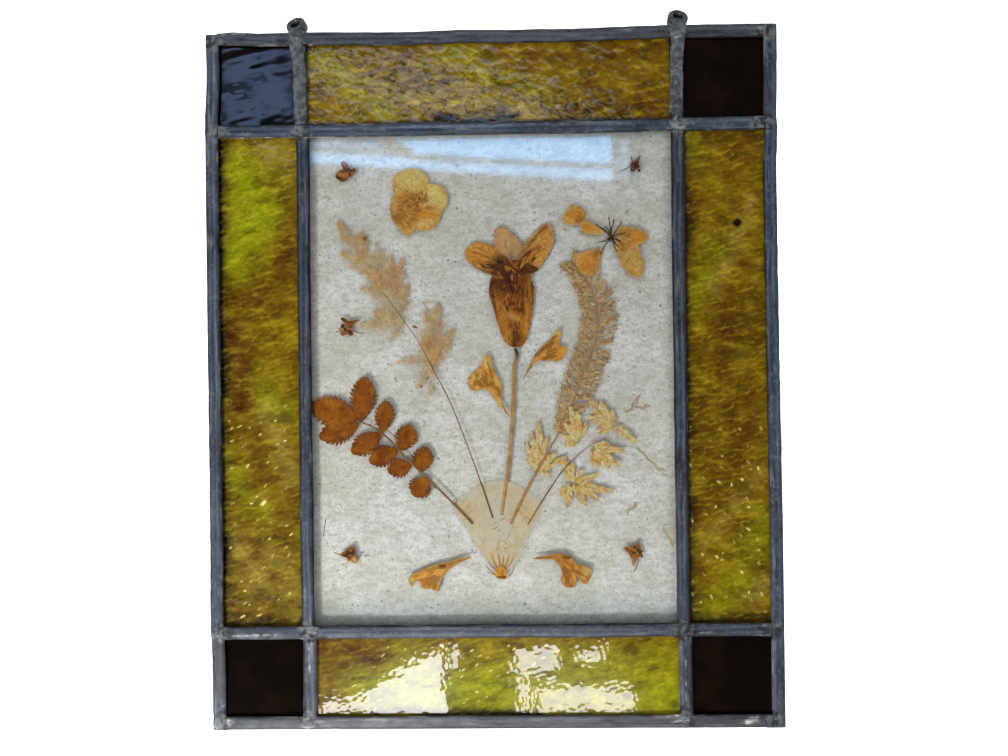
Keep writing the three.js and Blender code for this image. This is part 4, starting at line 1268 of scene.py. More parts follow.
bell = {
    "cup": [(10.2, 185.2), (6, 187.6), (3.6, 192), (0.4, 203), (-2.0, 212), (-1.6, 217.5), (0.2, 221.4),
            (2, 224.6), (8, 227.6), (14, 227.4), (17, 224), (18.6, 219.6), (20.1, 213), (19.0, 203),
            (17.0, 192), (14.6, 186.6)],
    "heart": (8.5, 220.5),
    "look": {"base": (11, 184), "veins": 40, "ragged": 0.4, "wave": 0.16, "soft": 1.6},
    "cupLook": {"seed": 201, "depth": -0.82, "soft": 0.5, "fringe": 0.3, "rim": 0.35},
    "sepalLook": {"seed": 209, "ragged": 0.1, "depth": -0.95, "soft": 0.3, "rim": 0.0},
    # pale and bright: strokes, wobble, base; shade: from, to and strength round the heart, then strokes
    "lobes": {
        "middle": {
            "points": [(3, 221), (1.2, 232), (1.6, 243), (6.4, 243.2), (12, 239), (16, 231), (15, 222)],
            "seed": 203, "veins": 24, "base": (8, 220), "depth": -0.5, "sheer": 0.2, "fade": 0.35,
            "pale": ([(5, 241, 9, 233, 10, 0.6)], 0.8), "bright": ([], 0, 0.6),
            "shade": (6.5, 14, 0.8, [(9, 222, 6, 238, 1.2, 0.35), (12, 224, 10, 236, 1.0, 0.35)]),
        },
        "left": {
            "points": [(5, 219.6), (-3, 221.6), (-11, 226.6), (-13.4, 232.6), (-8, 237), (-1, 235),
                       (7, 229), (9, 223)],
            "seed": 205, "veins": 18, "base": (6, 224), "depth": -0.66,
            "bright": ([(-2, 230, -9, 232, 8, 0.9)], 0.6, 0.7),
            "pale": ([(-4, 233, -10, 235, 5, 0.5)], 0.8, 0.2),
            "shade": (7.5, 16, 0.9, [(1, 228, -9, 232.4, 1.2, 0.6), (0, 225, -7, 227, 1.4, 0.6),
                                     (-2, 231, -6, 234, 0.9, 0.4)]),
        },
        "right": {
            "points": [(9, 222), (12.4, 230), (18.6, 239), (27.4, 246), (30, 237.5), (26, 228.6),
                       (20, 221.6), (14, 220)],
            "seed": 207, "veins": 20, "base": (13, 221), "depth": -0.58, "fade": 0.2,
            "bright": ([(13, 229, 24, 231, 4, 0.4)], 0.6, 0.7),
            "pale": ([(20, 238, 27, 237, 9, 0.6), (24, 230, 19, 224, 3, 0.5)], 0.8, 0.25),
            "shade": (7, 14, 0.9, [(14, 231, 23, 234, 3, 0.45), (10, 227, 26.4, 244.6, 1.2, 0.75),
                                   (17, 236, 21, 238, 2.0, 0.4)]),
        },
    },
    # centre, spread, count, lengths, widths, (lean, swing) in degrees
    "folds": [((8, 222), (12, 6), 30, (2, 7), (0.5, 1.4), (96, 70)),
              ((0, 225), (6, 4), 9, (3, 8), (0.5, 1.0), (155, 22)),
              ((16, 226), (6, 5), 11, (3, 9), (0.5, 1.1), (52, 20)),
              ((9, 210), (13, 16), 20, (2, 6), (0.4, 0.9), (90, 30)),
              ((10.5, 190), (6, 6), 9, (2, 5), (0.4, 0.8), (92, 14))],
    "sepal": [(14, 225.8), (17.6, 226), (22.4, 223.2), (17, 221.4)],
    "dark": [(1, 216, 14, 224, 9, 0.8), (7, 224, 8, 214, 8, 0.95), (15, 222, 13.4, 206, 5, 0.45),
             (2, 223, 17, 225, 7, 0.85), (11, 198, 11.4, 188, 1.2, 0.7), (12.8, 198, 12.6, 188, 1.0, 0.6),
             (10, 190, 10.2, 185, 2.8, 0.9), (-1.2, 216, 0.8, 203, 0.7, 0.8),
             (18.8, 220, 19.4, 206, 0.8, 0.7), (5, 206, 10, 213, 4, 0.35)],
    "pale": [(15.4, 216, 16.2, 205, 0.8, 0.3), (6, 202, 12, 198, 5, 0.35), (4.4, 190, 9, 186.4, 1.0, 0.45),
             (0.6, 214, 2.6, 202, 1.0, 0.35), (4, 207, 9, 212, 0.6, 0.3)],
    "bright": [(4, 200, 7, 190, 5, 0.6), (17, 206, 15.4, 191, 3, 0.7), (3, 207, 9, 201, 2, 0.6),
               (12, 201, 14, 192, 3, 0.4), (17, 218, 18.4, 207, 1.6, 0.5)],
}


def buildBell(finish):
    batch = Batch()
    for lobe in bell["lobes"].values():
        marks = {label: painted(*lobe[label]) for label in ("pale", "bright") if label in lobe}
        marks["dark"] = heartShade(bell["heart"], *lobe["shade"])
        petalInto(batch, lobe["points"], {**bell["look"], **lobe}, 0.45, marks)
    petalInto(batch, bell["cup"], {**bell["look"], **bell["cupLook"]}, 0.4, marksOf(bell, 1.3))
    petalInto(batch, bell["sepal"], {**bell["look"], **bell["sepalLook"]}, 0.4,
              {"dark": painted([], 0, 0.85)})
    for centre, spread, count, lengths, widths, lean in bell["folds"]:
        foldsInto(batch, centre, spread, count, lengths, widths, lean, -0.98, 210 + count)
    batch.piece("bell_flower_petals", finish, "amber_petal", ["bell_flower"])


softFlowers = {
    "side_bud": {
        "points": [(7.4, 151.2), (4.6, 156.8), (3.2, 160.6), (3.8, 165), (2.0, 170.4), (-0.6, 175.6),
            (-1.6, 180.2), (-4.2, 182), (-6.4, 177), (-9, 173.9), (-12.8, 170.8), (-12, 165.3),
            (-8, 164.2), (-4.4, 165.4), (0.2, 160), (3.4, 155.8)],
        "base": (2, 162), "veins": 12, "seed": 211,
        "folds": [((-4, 167), 115), ((-9, 167), 60), ((1, 163), 118)],
        "dark": [(1.4, 164.6, 2.2, 162.4, 2.0, 0.9), (6.6, 152, 3, 161, 0.9, 0.6),
            (-3, 178, 0, 167, 1.0, 0.7), (-9, 172, -2, 167, 0.9, 0.7), (-11, 167, -4, 167, 0.8, 0.5)],
        "pale": [(-4, 181, -3, 177, 3, 0.8), (-11, 168, -7, 172, 3, 0.4)],
    },
    "spurred_flower_upper": {
        "points": [(14, 169), (16.4, 174.6), (19, 179.4), (21, 183), (27, 188.6), (31.6, 193.8),
            (32.9, 191), (32, 186), (35.5, 184.8), (33.6, 179.6), (30.6, 178.2), (24, 179), (20, 177.4),
            (16, 172.4)],
        "base": (18, 177), "veins": 14, "seed": 213,
        "folds": [((22, 180), 40), ((26, 181), 15), ((27, 183), 52)],
        "dark": [(20, 181, 26, 186, 1.4, 0.9), (15, 171, 19, 178, 1.0, 0.6), (24, 180, 31, 184, 1.0, 0.7),
            (27, 188, 31, 191, 1.0, 0.7)],
        "bright": [(30, 180, 34, 184, 5, 0.8)],
    },
    "spurred_flower_left": {
        "points": [(-11.9, 83.1), (-17, 82.6), (-23, 80.8), (-29, 79.8), (-36, 77), (-43, 73.4),
            (-41.4, 68.8), (-38.4, 71.6), (-36.3, 68), (-32, 67.5), (-28.2, 66.4), (-27.5, 71.4),
            (-23.2, 76.8), (-18, 80.3)],
        "base": (-22, 80), "veins": 14, "seed": 215, "browned": 0.3,
        "folds": [((-27, 77), 205), ((-29, 73), 250), ((-33, 75), 200)],
        "dark": [(-27.5, 78.6, -25.5, 78.6, 2.8, 0.95), (-13, 82.6, -24, 79.6, 0.9, 0.7),
            (-28, 76, -34, 71, 1, 0.7), (-30, 78, -38, 74, 1.0, 0.6)],
        "pale": [(-42, 73, -40, 70, 2.4, 0.8)], "bright": [(-36, 72, -29, 69, 5, 0.6)],
    },
    "spurred_flower_right": {
        "points": [(17.7, 82.2), (25, 83.6), (34.4, 83.9), (39.4, 79.4), (46.3, 76.4), (44.3, 70),
            (41.2, 70.4), (38.9, 73.2), (38.9, 68.3), (33.8, 68.1), (31.4, 71.4), (32, 75.4),
            (28.4, 81.1), (22.6, 81.6)],
        "base": (30, 81), "veins": 14, "seed": 217, "browned": 0.3,
        "folds": [((33, 79), 290), ((37, 78), 325), ((36, 74), 275)],
        "dark": [(33, 82.6, 35.4, 82.2, 2.6, 0.95), (19, 82.4, 30, 82.6, 0.9, 0.7),
            (33, 76, 34, 70, 1.0, 0.8), (37, 77, 38.6, 70, 0.9, 0.7), (34, 80, 39, 77, 1.2, 0.6)],
        "pale": [(43, 74, 45, 76, 4, 0.7)],
    },
    "blossom_upper_left": {
        "points": [(-76.9, 270.6), (-75, 273.3), (-73, 273.8), (-74.2, 276.6), (-72.4, 277.9),
            (-70.5, 276), (-70, 273.7), (-67.6, 274.4), (-66.8, 272.4), (-70, 269.6), (-73, 267.4),
            (-75.8, 269)],
        "base": (-71, 273), "veins": 8, "seed": 219, "slot": "umber_blossom",
        "dark": [(-76, 270, -71, 269, 1.4, 0.9), (-71, 273, -67.5, 273.4, 2.2, 0.7)],
        "bright": [(-74, 271.4, -71, 271, 3, 0.7)],
    },
    "blossom_upper_right": {
        "points": [(67.9, 274.2), (69.6, 275.4), (72.6, 278), (71.8, 274.4), (72.5, 272.4), (70.2, 271.4),
            (68.6, 272.6)],
        "base": (70, 273), "veins": 6, "seed": 221, "slot": "umber_blossom",
        "dark": [(69, 273.6, 71.4, 273.8, 3, 1.0)],
        "stalks": [[(63, 270.6), (66, 272), (68.4, 273.6)], [(68.2, 277.8), (68.6, 276), (69.4, 274.6)]],
    },
    "blossom_left": {
        "points": [(-75.2, 200.8), (-73, 201), (-70.8, 199.2), (-66, 200), (-68.6, 197.3), (-71, 196),
            (-68.8, 193.2), (-70.4, 191.9), (-72, 193), (-74.2, 191.9), (-75, 193.8), (-72.4, 195.8),
            (-73.2, 198)],
        "base": (-72, 196), "veins": 8, "seed": 223, "slot": "umber_blossom",
        "dark": [(-74, 200, -70, 198.6, 1.6, 0.7), (-72, 196, -70, 193, 1.6, 0.9)],
        "stalks": [[(-70, 195), (-66.6, 193.6), (-63.5, 193.3)], [(-74, 195), (-76, 194), (-77.5, 194.5)]],
    },
    "blossom_lower_left": {
        "points": [(-77, 84.6), (-73.6, 87), (-70.6, 88.9), (-68.8, 86.4), (-69, 84.6), (-67.4, 82.8),
            (-69.2, 80.3), (-73, 82.8)],
        "base": (-72, 85), "veins": 8, "seed": 225, "slot": "umber_blossom",
        "dark": [(-73, 85, -71, 85.4, 3, 0.95)], "pale": [(-69.8, 82.4, -69.2, 81.4, 2.2, 0.8)],
        "stalks": [[(-80, 86), (-78, 85.2), (-76, 84.4)], [(-65, 84.2), (-63.6, 84.4), (-62.5, 84.1)]],
    },
    "blossom_lower_right": {
        "points": [(62.4, 87), (66.4, 87.6), (69.8, 90), (70.6, 85.6), (71.7, 82.2), (69.4, 82.4),
            (66.8, 78.2), (65.2, 83.2)],
        "base": (67, 85), "veins": 8, "seed": 227, "slot": "umber_blossom",
        "dark": [(66.4, 85.6, 68.6, 84.6, 2.6, 0.95), (64, 86.6, 66, 86, 1.2, 0.6)],
        "pale": [(66.2, 81, 65.8, 80, 2.4, 0.6)], "stalks": [[(69.5, 81.8), (68.6, 78.4), (67, 75.2)]],
    },
}
roundFlower = {
    "upper": {
        "points": [(-36, 256), (-45.4, 258.6), (-48.8, 266), (-47.2, 270.4), (-39.6, 274.3),
            (-32.4, 270.6), (-31.6, 262)],
        "depth": -0.1, "seed": 231,
        "dark": [(-38, 257, -34, 262, 4, 0.6), (-44, 262, -38, 260, 4, 0.3)],
        "pale": [(-42, 268, -36, 270, 14, 0.85), (-46, 263, -40, 263, 5, 0.6)],
    },
    "right": {
        "points": [(-38, 257), (-34.6, 264.2), (-29, 266), (-22.8, 262.3), (-22.2, 256), (-26, 251.6),
            (-33, 252.6)],
        "depth": -0.68, "seed": 233,
        "dark": [(-37, 258, -33, 259, 3, 0.7), (-34, 254, -28, 254, 1.2, 0.5)],
        "pale": [(-29, 262, -25, 257, 11, 0.85)],
    },
    "lower": {
        "points": [(-38, 255.6), (-31, 255), (-25, 252.4), (-28.4, 244.8), (-35, 243.2), (-39.6, 246.4)],
        "depth": -0.1, "seed": 235, "dark": [(-37, 255, -33, 254, 3, 0.6)],
        "bright": [(-37, 251.6, -29, 251, 6, 0.9)], "pale": [(-36, 246, -30, 247, 5, 0.6)],
    },
    "left": {
        "points": [(-36.6, 257.6), (-37.6, 246), (-41, 240.8), (-46.4, 245), (-49.9, 251.6), (-49.2, 259),
            (-45, 262.4), (-40, 261.6)],
        "depth": -0.88, "seed": 237, "veins": 34,
        "dark": [(-38, 259, -46, 250, 11, 0.5), (-39, 250, -42, 246, 5, 0.45),
            (-37, 259, -37.6, 250, 1.6, 0.7)],
        "pale": [(-42, 248, -41.4, 243, 1.8, 0.6), (-48, 258, -48, 252, 2.4, 0.5)],
    },
}
openFlower = {
    "petals": [
        {"points": [(34.8, 246.6), (36, 251.4), (39.6, 254.4), (43.6, 253.2), (45.8, 249.2), (43, 245.6),
                    (38.6, 244.8)],
         "bright": [(38, 250, 43, 249, 5, 0.6)], "dark": [(42, 246.6, 45, 248, 3, 0.5)]},
        {"points": [(42.6, 245.2), (46.6, 246.4), (51, 243.8), (54.4, 240.8), (48, 239.6), (44, 241.4)],
         "bright": [(45, 243.6, 51, 243, 4, 0.8)], "pale": [(45, 240.6, 52, 240.4, 1.6, 0.7)]},
        {"points": [(53, 231.8), (47, 232.2), (41.8, 229.6), (41, 225.2), (44.4, 220.6), (50.4, 221),
                    (52, 226)],
         "bright": [(45, 226, 50, 228, 7, 0.5)], "dark": [(50, 230, 52, 231, 3, 0.5)]},
        {"points": [(60.6, 240.6), (63.6, 243.4), (71, 242.4), (76, 238.8), (72, 235), (64, 235.4)],
         "bright": [(71, 238.8, 73, 238.4, 4, 0.9)], "dark": [(62, 240, 66, 239, 3, 0.4)], "depth": -0.62},
        {"points": [(60.6, 236.6), (61.7, 228.4), (65.4, 221.8), (70.8, 218.4), (73.7, 223.6), (71.6, 231),
                    (69.4, 237)], "pale": [(66, 230, 70, 223, 7, 0.45)],
                    "dark": [(62, 236, 64, 232, 3, 0.4)],
         "depth": -0.82},
    ],
    "centre": (58, 238.4),
    "stamens": [(57, 247.6), (59.4, 246.4), (62.8, 245.4), (51, 244.4), (53.8, 242.8), (64.4, 240.4),
                (63.4, 236.4), (61.4, 233.6), (64.2, 234.4), (52.2, 236.2), (53, 230.8), (60.4, 231.8),
                (55.4, 243.4)],
}


def buildFlowers(amber, umber):
    for node, flower in softFlowers.items():
        batch = Batch()
        brown = "slot" in flower
        look = {**flower, "depth": -0.75, "ragged": 0.3, "soft": 0.4 if brown else 0.6, "rim": 0.3}
        petalInto(batch, flower["points"], look, 0.4, marksOf(flower, 0.5, flower.get("browned", 0.0)))
        for stalk in flower.get("stalks", []):
            batch.thread(stalk, (0.35, 0.5), -0.7, dark=0.5)
        if brown:
            foldsInto(batch, flower["base"], (3.4, 3.4), 10, (1.4, 3.4), (0.8, 1.7), (0, 180), -0.92,
                      flower["seed"] + 60)
        for spot, lean in flower.get("folds", []):
            foldsInto(batch, spot, (3, 3), 6, (3, 7.5), (0.7, 2.0), (lean, 16), -0.9,
                      flower["seed"] + int(spot[0]), 0.6)
        batch.piece(f"{node}_pressed", umber if brown else amber, flower.get("slot", "amber_petal"), [node])
    for place, petal in roundFlower.items():
        batch = Batch()
        look = {"seed": petal["seed"], "base": (-36.5, 257), "veins": petal.get("veins", 18),
                "depth": petal["depth"],
                "ragged": 0.5, "soft": 1.2, "rim": 0.35}
        petalInto(batch, petal["points"], look, 0.45, marksOf(petal, 0.9))
        if place == "left":
            foldsInto(batch, (-41, 253), (9, 12), 34, (1.5, 4.5), (0.3, 0.7), (0, 180), -0.96, 239, 0.75)
        if place == "right":
            foldsInto(batch, (-35, 258), (6, 5), 12, (2, 5), (0.3, 0.8), (40, 60), -0.78, 240, 0.7)
        batch.piece(f"round_flower_{place}", amber, "amber_petal", [f"round_flower_petal_{place}"])
    for number, petal in enumerate(openFlower["petals"], 1):
        batch = Batch()
        marks = marksOf(petal, 0.7)
        marks["vein"] = fanVeins(openFlower["centre"], 44, 240 + number, 0.2, 0.6)
        look = {"seed": 240 + number, "depth": petal.get("depth", -0.72), "ragged": 0.6, "soft": 1.5,
                "rim": 0.45}
        petalInto(batch, petal["points"], look, 0.42, marks)
        batch.piece(f"open_flower_{number}", amber, "amber_petal", [f"open_flower_petal_{number}"])
    batch = Batch()
    centre = np.array(openFlower["centre"])
    rng = np.random.RandomState(251)
    for tip in openFlower["stamens"]:
        tip = np.array(tip)
        middle = (centre + tip) / 2 + (rng.rand(2) - 0.5) * 1.4
        batch.thread([centre, middle, tip], (0.65, 0.4), -0.86, dark=0.6 + 0.4 * rng.rand())
        batch.blade(tip - (tip - centre) * 0.04, tip + (tip - centre) * 0.09, 0.9, -0.86, 0.2, 0.0, 4,
                    dark=0.8)
    for _ in range(14):
        start = centre + (rng.rand(2) - 0.5) * (3.4, 2.6)
        batch.blade(start, start + (rng.rand(2) - 0.5) * 3.0, 0.9, -0.85 + 0.1 * rng.rand(), 0.2, 0.1, 4,
                    dark=0.4 + 0.6 * rng.rand())
    batch.piece("open_flower_stamens", umber, "umber_blossom", ["open_flower_eye"])
    print("flowers built")


burnet = {
    "stalk": [(-69, 150.6), (-61.5, 148), (-56, 144.5), (-50, 139.3), (-43, 131), (-30, 118.7),
        (-11.2, 99.3)],
    "spikes": [[(-61, 147.6), (-60.6, 149), (-60.2, 150.6)], [(-20, 108.4), (-19.2, 110), (-18.6, 111)],
        [(-37, 124.8), (-37.6, 126), (-37.4, 127)]],
    "leaflets": [((-67.4, 150.8), (-90.2, 158.2), 14.4, 8), ((-66.5, 148.5), (-86, 142.2), 12, 8),
        ((-65.6, 149.6), (-63.4, 171.8), 12.4, 9), ((-55.4, 144), (-70.3, 134.6), 10.6, 7),
        ((-55, 144.2), (-53, 159.8), 9.6, 7), ((-47.5, 136), (-61.6, 130), 10.4, 7),
        ((-46, 135.2), (-41.2, 147.8), 11, 6), ((-40.6, 128.6), (-52.6, 125.4), 9.4, 6),
        ((-36.8, 124.4), (-34.2, 137.2), 10.2, 6), ((-33.4, 121.8), (-40.2, 113.2), 11.4, 6)],
}


# Outline of one leaflet with sharp saw teeth that point to its tip
def leafletLoop(base, tip, width, teeth, seed):
    rng = np.random.RandomState(seed)
    base, tip = np.array(base, float), np.array(tip, float)
    along = tip - base
    length = np.hypot(*along)
    along = along / length
    side = np.array([-along[1], along[0]])

    def rim(share, out, hand):
        swell = math.sin(math.pi * min(max(share, 0.012), 0.985) ** 1.18) ** 0.62
        return base + along * min(share, 1.02) * length + side * hand * swell * out * width / 2

    sides = []
    for hand in (1, -1):
        points = [rim(0.02, 1, hand), rim(0.06, 1, hand), rim(0.12, 1, hand)]
        for tooth in range(teeth):
            start = 0.16 + 0.82 * tooth / teeth
            pitch = 0.82 / teeth
            deep = 0.8 - 0.1 * rng.rand()
            points += [rim(start, deep + 0.1 * (tooth == 0), hand), rim(start + 0.5 * pitch, 0.99, hand),
                       rim(start + 1.22 * pitch, 1.1 + 0.1 * rng.rand(), hand)]
        sides.append(points)
    return np.array(sides[0] + [tip] + sides[1][::-1])


def buildBurnet(finish, stemFinish):
    batch = Batch()
    for number, (base, tip, width, teeth) in enumerate(burnet["leaflets"]):
        loop = ragged(evenLoop(leafletLoop(base, tip, width, teeth, 251 + number), 0.36), 0.1, 1.0, number)
        b, t = np.array(base, float), np.array(tip, float)
        reach = np.hypot(*(t - b))
        axis = (t - b) / reach

        def veinRule(x, z, away, b=b, axis=axis, teeth=teeth, reach=reach):
            forward = (x - b[0]) * axis[0] + (z - b[1]) * axis[1]
            across = np.abs((z - b[1]) * axis[0] - (x - b[0]) * axis[1])
            wave = np.abs(((forward - across * 0.8) * teeth * 1.1 / reach) % 1 - 0.5)
            lines = np.maximum(0.5 * np.exp(-(across / 0.35) ** 2), 0.35 * np.exp(-(wave / 0.12) ** 2))
            return lines * np.clip(0.7 + 0.8 * layeredNoise(x, z, 3.0, teeth), 0, 1)

        rules = {
            "vein": veinRule,
            "dark": lambda x, z, away: (0.75 * np.exp(-(away / 0.45) ** 2)
                                        * np.clip(0.7 + layeredNoise(x, z, 2, 9), 0, 1)),
            "bright": lambda x, z, away: 0.9 * smoothStep(0.0, 0.6, layeredNoise(x, z, 5.0, 271)),
            "pale": lambda x, z, away: 0.3 * smoothStep(0.2, 0.7, layeredNoise(x, z, 2.5, 273)),
        }
        batch.shell(loop, 0.42, -0.8 + 0.03 * (number % 3), 0.2,
                    lambda x, z, n=number: 0.16 * layeredNoise(x, z, 3.5, 251 + n), 251 + number, rules)
    batch.piece("burnet_leaf_pressed", finish, "leaf", ["burnet_leaf"])
    stalk = Batch()
    path = smoothCurve(burnet["stalk"], 10)
    wide = np.linspace(0.6, 1.2, len(path)) * (1 + 0.15 * gridNoise(path[:, 0], path[:, 1], 2.2, 281))
    stalk.strand(np.stack([path[:, 0], np.full(len(path), -0.75), path[:, 1]], axis=1), wide, 0.45, 8,
                 dark=0.6)
    for spike in burnet["spikes"]:
        stalk.thread(spike, (0.6, 0.2), -0.75, dark=0.8)
    stalk.piece("burnet_stalk_dried", stemFinish, "tawny_grass", ["burnet_leaf"])
    print("burnet leaf built")


# pale is the strength of a painted highlight strand along the stem
stems = {
    "plume_stem": {
        "route": [(-54, 213), (-45, 200.4), (-38, 190.5), (-31, 177.2), (-22, 159.5), (-14, 139),
            (-7, 119), (-1.5, 102)],
        "width": (0.4, 0.6), "dark": (0.25, 0.8), "pale": 0.0,
    },
    "bell_stem": {
        "route": [(10.4, 184.8), (11.2, 182.6), (11.2, 180.4), (9.7, 175), (9.2, 160), (7.9, 142),
            (5.6, 122), (2.8, 103.4)],
        "width": (1.6, 1.6), "dark": (0.1, 0.1), "pale": 0.45,
    },
    "foxtail_stem": {
        "route": [(31.6, 144), (26, 134.4), (20, 124), (14, 113), (7.4, 99)], "width": (0.8, 1.6),
        "dark": (0.3, 0.3), "pale": 0.3,
    },
    "spikelet_stem": {
        "route": [(15.5, 98.6), (24, 112), (32, 123.6), (37.5, 129.6), (44, 135), (50, 139.6)],
        "width": (0.8, 0.4), "dark": (0.5, 0.5), "pale": 0.0,
    },
}


def buildStems(finish):
    for number, (node, stem) in enumerate(stems.items()):
        batch = Batch()
        path = evenLoop(smoothCurve(stem["route"], 12), 0.6, False)
        share = np.linspace(0, 1, len(path))
        uneven = 1 + 0.16 * gridNoise(path[:, 0], path[:, 1], 3.0, number)
        wide = np.interp(share, (0, 1), stem["width"]) * uneven
        patch = gridNoise(path[:, 0], path[:, 1], 5.0, number + 2)
        dark = np.clip(np.interp(share, (0, 1), stem["dark"]) * (1 + 0.6 * patch), 0, 1)
        if node == "bell_stem":
            dark = np.maximum(dark, 1 - smoothStep(0.02, 0.1, share))
        route = np.stack([path[:, 0], np.full(len(path), -0.72), path[:, 1]], axis=1)
        batch.strand(route, wide, 0.4, 8, dark=dark)
        # Painted highlight: a narrower, paler strand just in front of the stem
        if stem["pale"]:
            stemHighlight = stem["pale"] * np.clip(0.8 - patch, 0, 1) * (1 - dark)
            batch.strand(route - (0.1, 0.14, 0), wide * 0.42, 0.5, 6, pale=stemHighlight, dark=dark * 0.6)
        batch.piece(f"{node}_dried", finish, "tawny_grass", [node])
    print("stems built")


plume = {
    "upper": [((-57, 219), (-78, 250.5), 7), ((-57, 219), (-76, 234), 6.5), ((-57, 219), (-66, 244), 8),
        ((-56, 216), (-57, 238.5), 9), ((-51, 208), (-50, 232.5), 8), ((-48, 203), (-44.4, 231), 6.5),
        ((-53, 215), (-66.5, 215.4), 6), ((-47, 201), (-41.4, 217), 5), ((-44.5, 199), (-67, 196.8), 6.5),
        ((-44, 198), (-60, 204), 6), ((-44, 198.6), (-51.4, 190), 5), ((-57, 220), (-52, 197), 8)],
    "lower": [((-32.5, 179), (-33.8, 210), 6), ((-31, 178.4), (-27, 208.6), 9),
        ((-30, 177), (-19, 196.5), 6), ((-31, 178.6), (-47.4, 179.4), 3.6),
        ((-30.8, 179), (-37.6, 165.6), 4.6), ((-30.6, 179), (-31.4, 161.6), 4),
        ((-31.4, 178), (-32.6, 194), 6)],
    "hairsPerArea": 2.1,
}


def buildPlume(finish):
    rng = np.random.RandomState(301)
    for part in ("upper", "lower"):
        batch = Batch()
        for base, tip, width in plume[part]:
            base, tip = np.array(base, float), np.array(tip, float)
            along = tip - base
            length = np.hypot(*along)
            along = along / length
            side = np.array([-along[1], along[0]])
            for _ in range(int(width * length * plume["hairsPerArea"])):
                share = rng.rand() ** 0.9
                swell = math.sin(math.pi * min(max(share, 0.06), 0.96) ** 0.8) ** 0.8
                offset = (rng.rand() - 0.5) * width * 1.15 * swell
                start = base + along * share * length * 0.9 + side * offset * 0.75
                lean = offset / width * 1.3 + (rng.rand() - 0.5) * 1.7
                way = along * math.cos(lean) + side * math.sin(lean)
                reach = (1.2 + 2.8 * rng.rand()) * (1.1 - 0.45 * share)
                bend = side * (rng.rand() - 0.5) * reach * 1.1
                depth = -0.05 + (rng.rand() - 0.5) * 0.4
                clump = layeredNoise(start[:1], start[1:], 4.0, 305)[0]
                if layeredNoise(start[:1], start[1:], 2.6, 306)[0] < -0.3:
                    continue
                shade = {"pale": max(0.0, 0.75 * rng.rand() - 0.5 * clump),
                         "dark": 0.35 * (rng.rand() > 0.85),
                         "bright": float(np.clip(0.9 * clump + 0.3, 0, 0.8))}
                path = smoothCurve([start, start + way * reach * 0.5 + bend * 0.5, start + way * reach], 2)
                rows = np.stack([path[:, 0], np.full(len(path), depth), path[:, 1]], axis=1)
                batch.strand(rows, np.linspace(0.22, 0.1, len(path)), 0.6, 3, **shade)
                if rng.rand() > 0.6:
                    batch.blade(path[-2], path[-1] + way * 0.4, 0.3 + 0.3 * rng.rand(), depth, 0.1, 0.0,
                                3, **shade)
            spine = [base, (base + tip) / 2 + side * (rng.rand() - 0.5), base + (tip - base) * 0.9]
            batch.thread(spine, (0.3, 0.12), -0.05, dark=0.3)
        batch.piece(f"plume_{part}_tufts", finish, "straw", [f"plume_{part}"])
    print("plume built")


foxtail = {
    "spine": [(32, 143), (36, 153), (41, 165), (44.6, 175), (49, 186), (51, 198), (49.4, 210),
        (44, 219.6), (38.4, 227)],
    "halfWidths": [3.2, 7, 8.8, 8.8, 8.8, 9.0, 7.4, 6.2, 4.4], "pairs": 84, "barbs": 9,
}


def buildFoxtail(finish):
    rng = np.random.RandomState(311)
    spine = smoothCurve(foxtail["spine"], 24)
    ahead = np.gradient(spine, axis=0)
    ahead /= np.hypot(ahead[:, 0], ahead[:, 1])[:, None]
    halves = np.interp(np.linspace(0, 8, len(spine)), range(9), foxtail["halfWidths"])
    batch = Batch()
    batch.thread(foxtail["spine"], (0.9, 0.4), -0.32, 0.4, 6, dark=0.4)
    for number in range(foxtail["pairs"]):
        index = int((number + 0.3) / foxtail["pairs"] * (len(spine) - 1))
        centre, along, half = spine[index], ahead[index], halves[index]
        for hand in (-1, 1):
            side = np.array([-along[1], along[0]]) * hand
            lean = 0.35 + 0.6 * rng.rand()
            direction = side + along * lean
            direction /= np.hypot(*direction)
            reach = half * (0.82 + 0.22 * rng.rand()) / max(0.5, np.dot(direction, side))
            depth = -0.05 + (rng.rand() - 0.5) * 0.36
            shade = rng.rand()
            batch.thread([centre, centre + direction * reach * 0.5 + along * 0.3,
                          centre + direction * reach],
                         (0.4, 0.2), depth, smooth=3, dark=0.3 * shade)
            for barb in range(foxtail["barbs"]):
                share = 0.06 + 0.94 * (barb + rng.rand()) / foxtail["barbs"]
                spot = centre + direction * reach * share
                for way in (-1, 1):
                    cross = np.array([-direction[1], direction[0]]) * way
                    out = direction * (0.8 + 0.4 * rng.rand()) + cross * (0.15 + 0.55 * rng.rand())
                    patch = rng.rand()
                    batch.blade(spot, spot + out * (1.3 + 0.9 * rng.rand()), 0.28 + 0.14 * rng.rand(),
                                depth + 0.05 * way, 0.12, 0.05 * way, 3, pale=0.9 * (patch > 0.7),
                                bright=0.7 * (patch < 0.3), dark=0.8 * (rng.rand() > 0.7))
    batch.piece("foxtail_fronds", finish, "tawny_grass", ["foxtail_spike"])
    print("foxtail built")


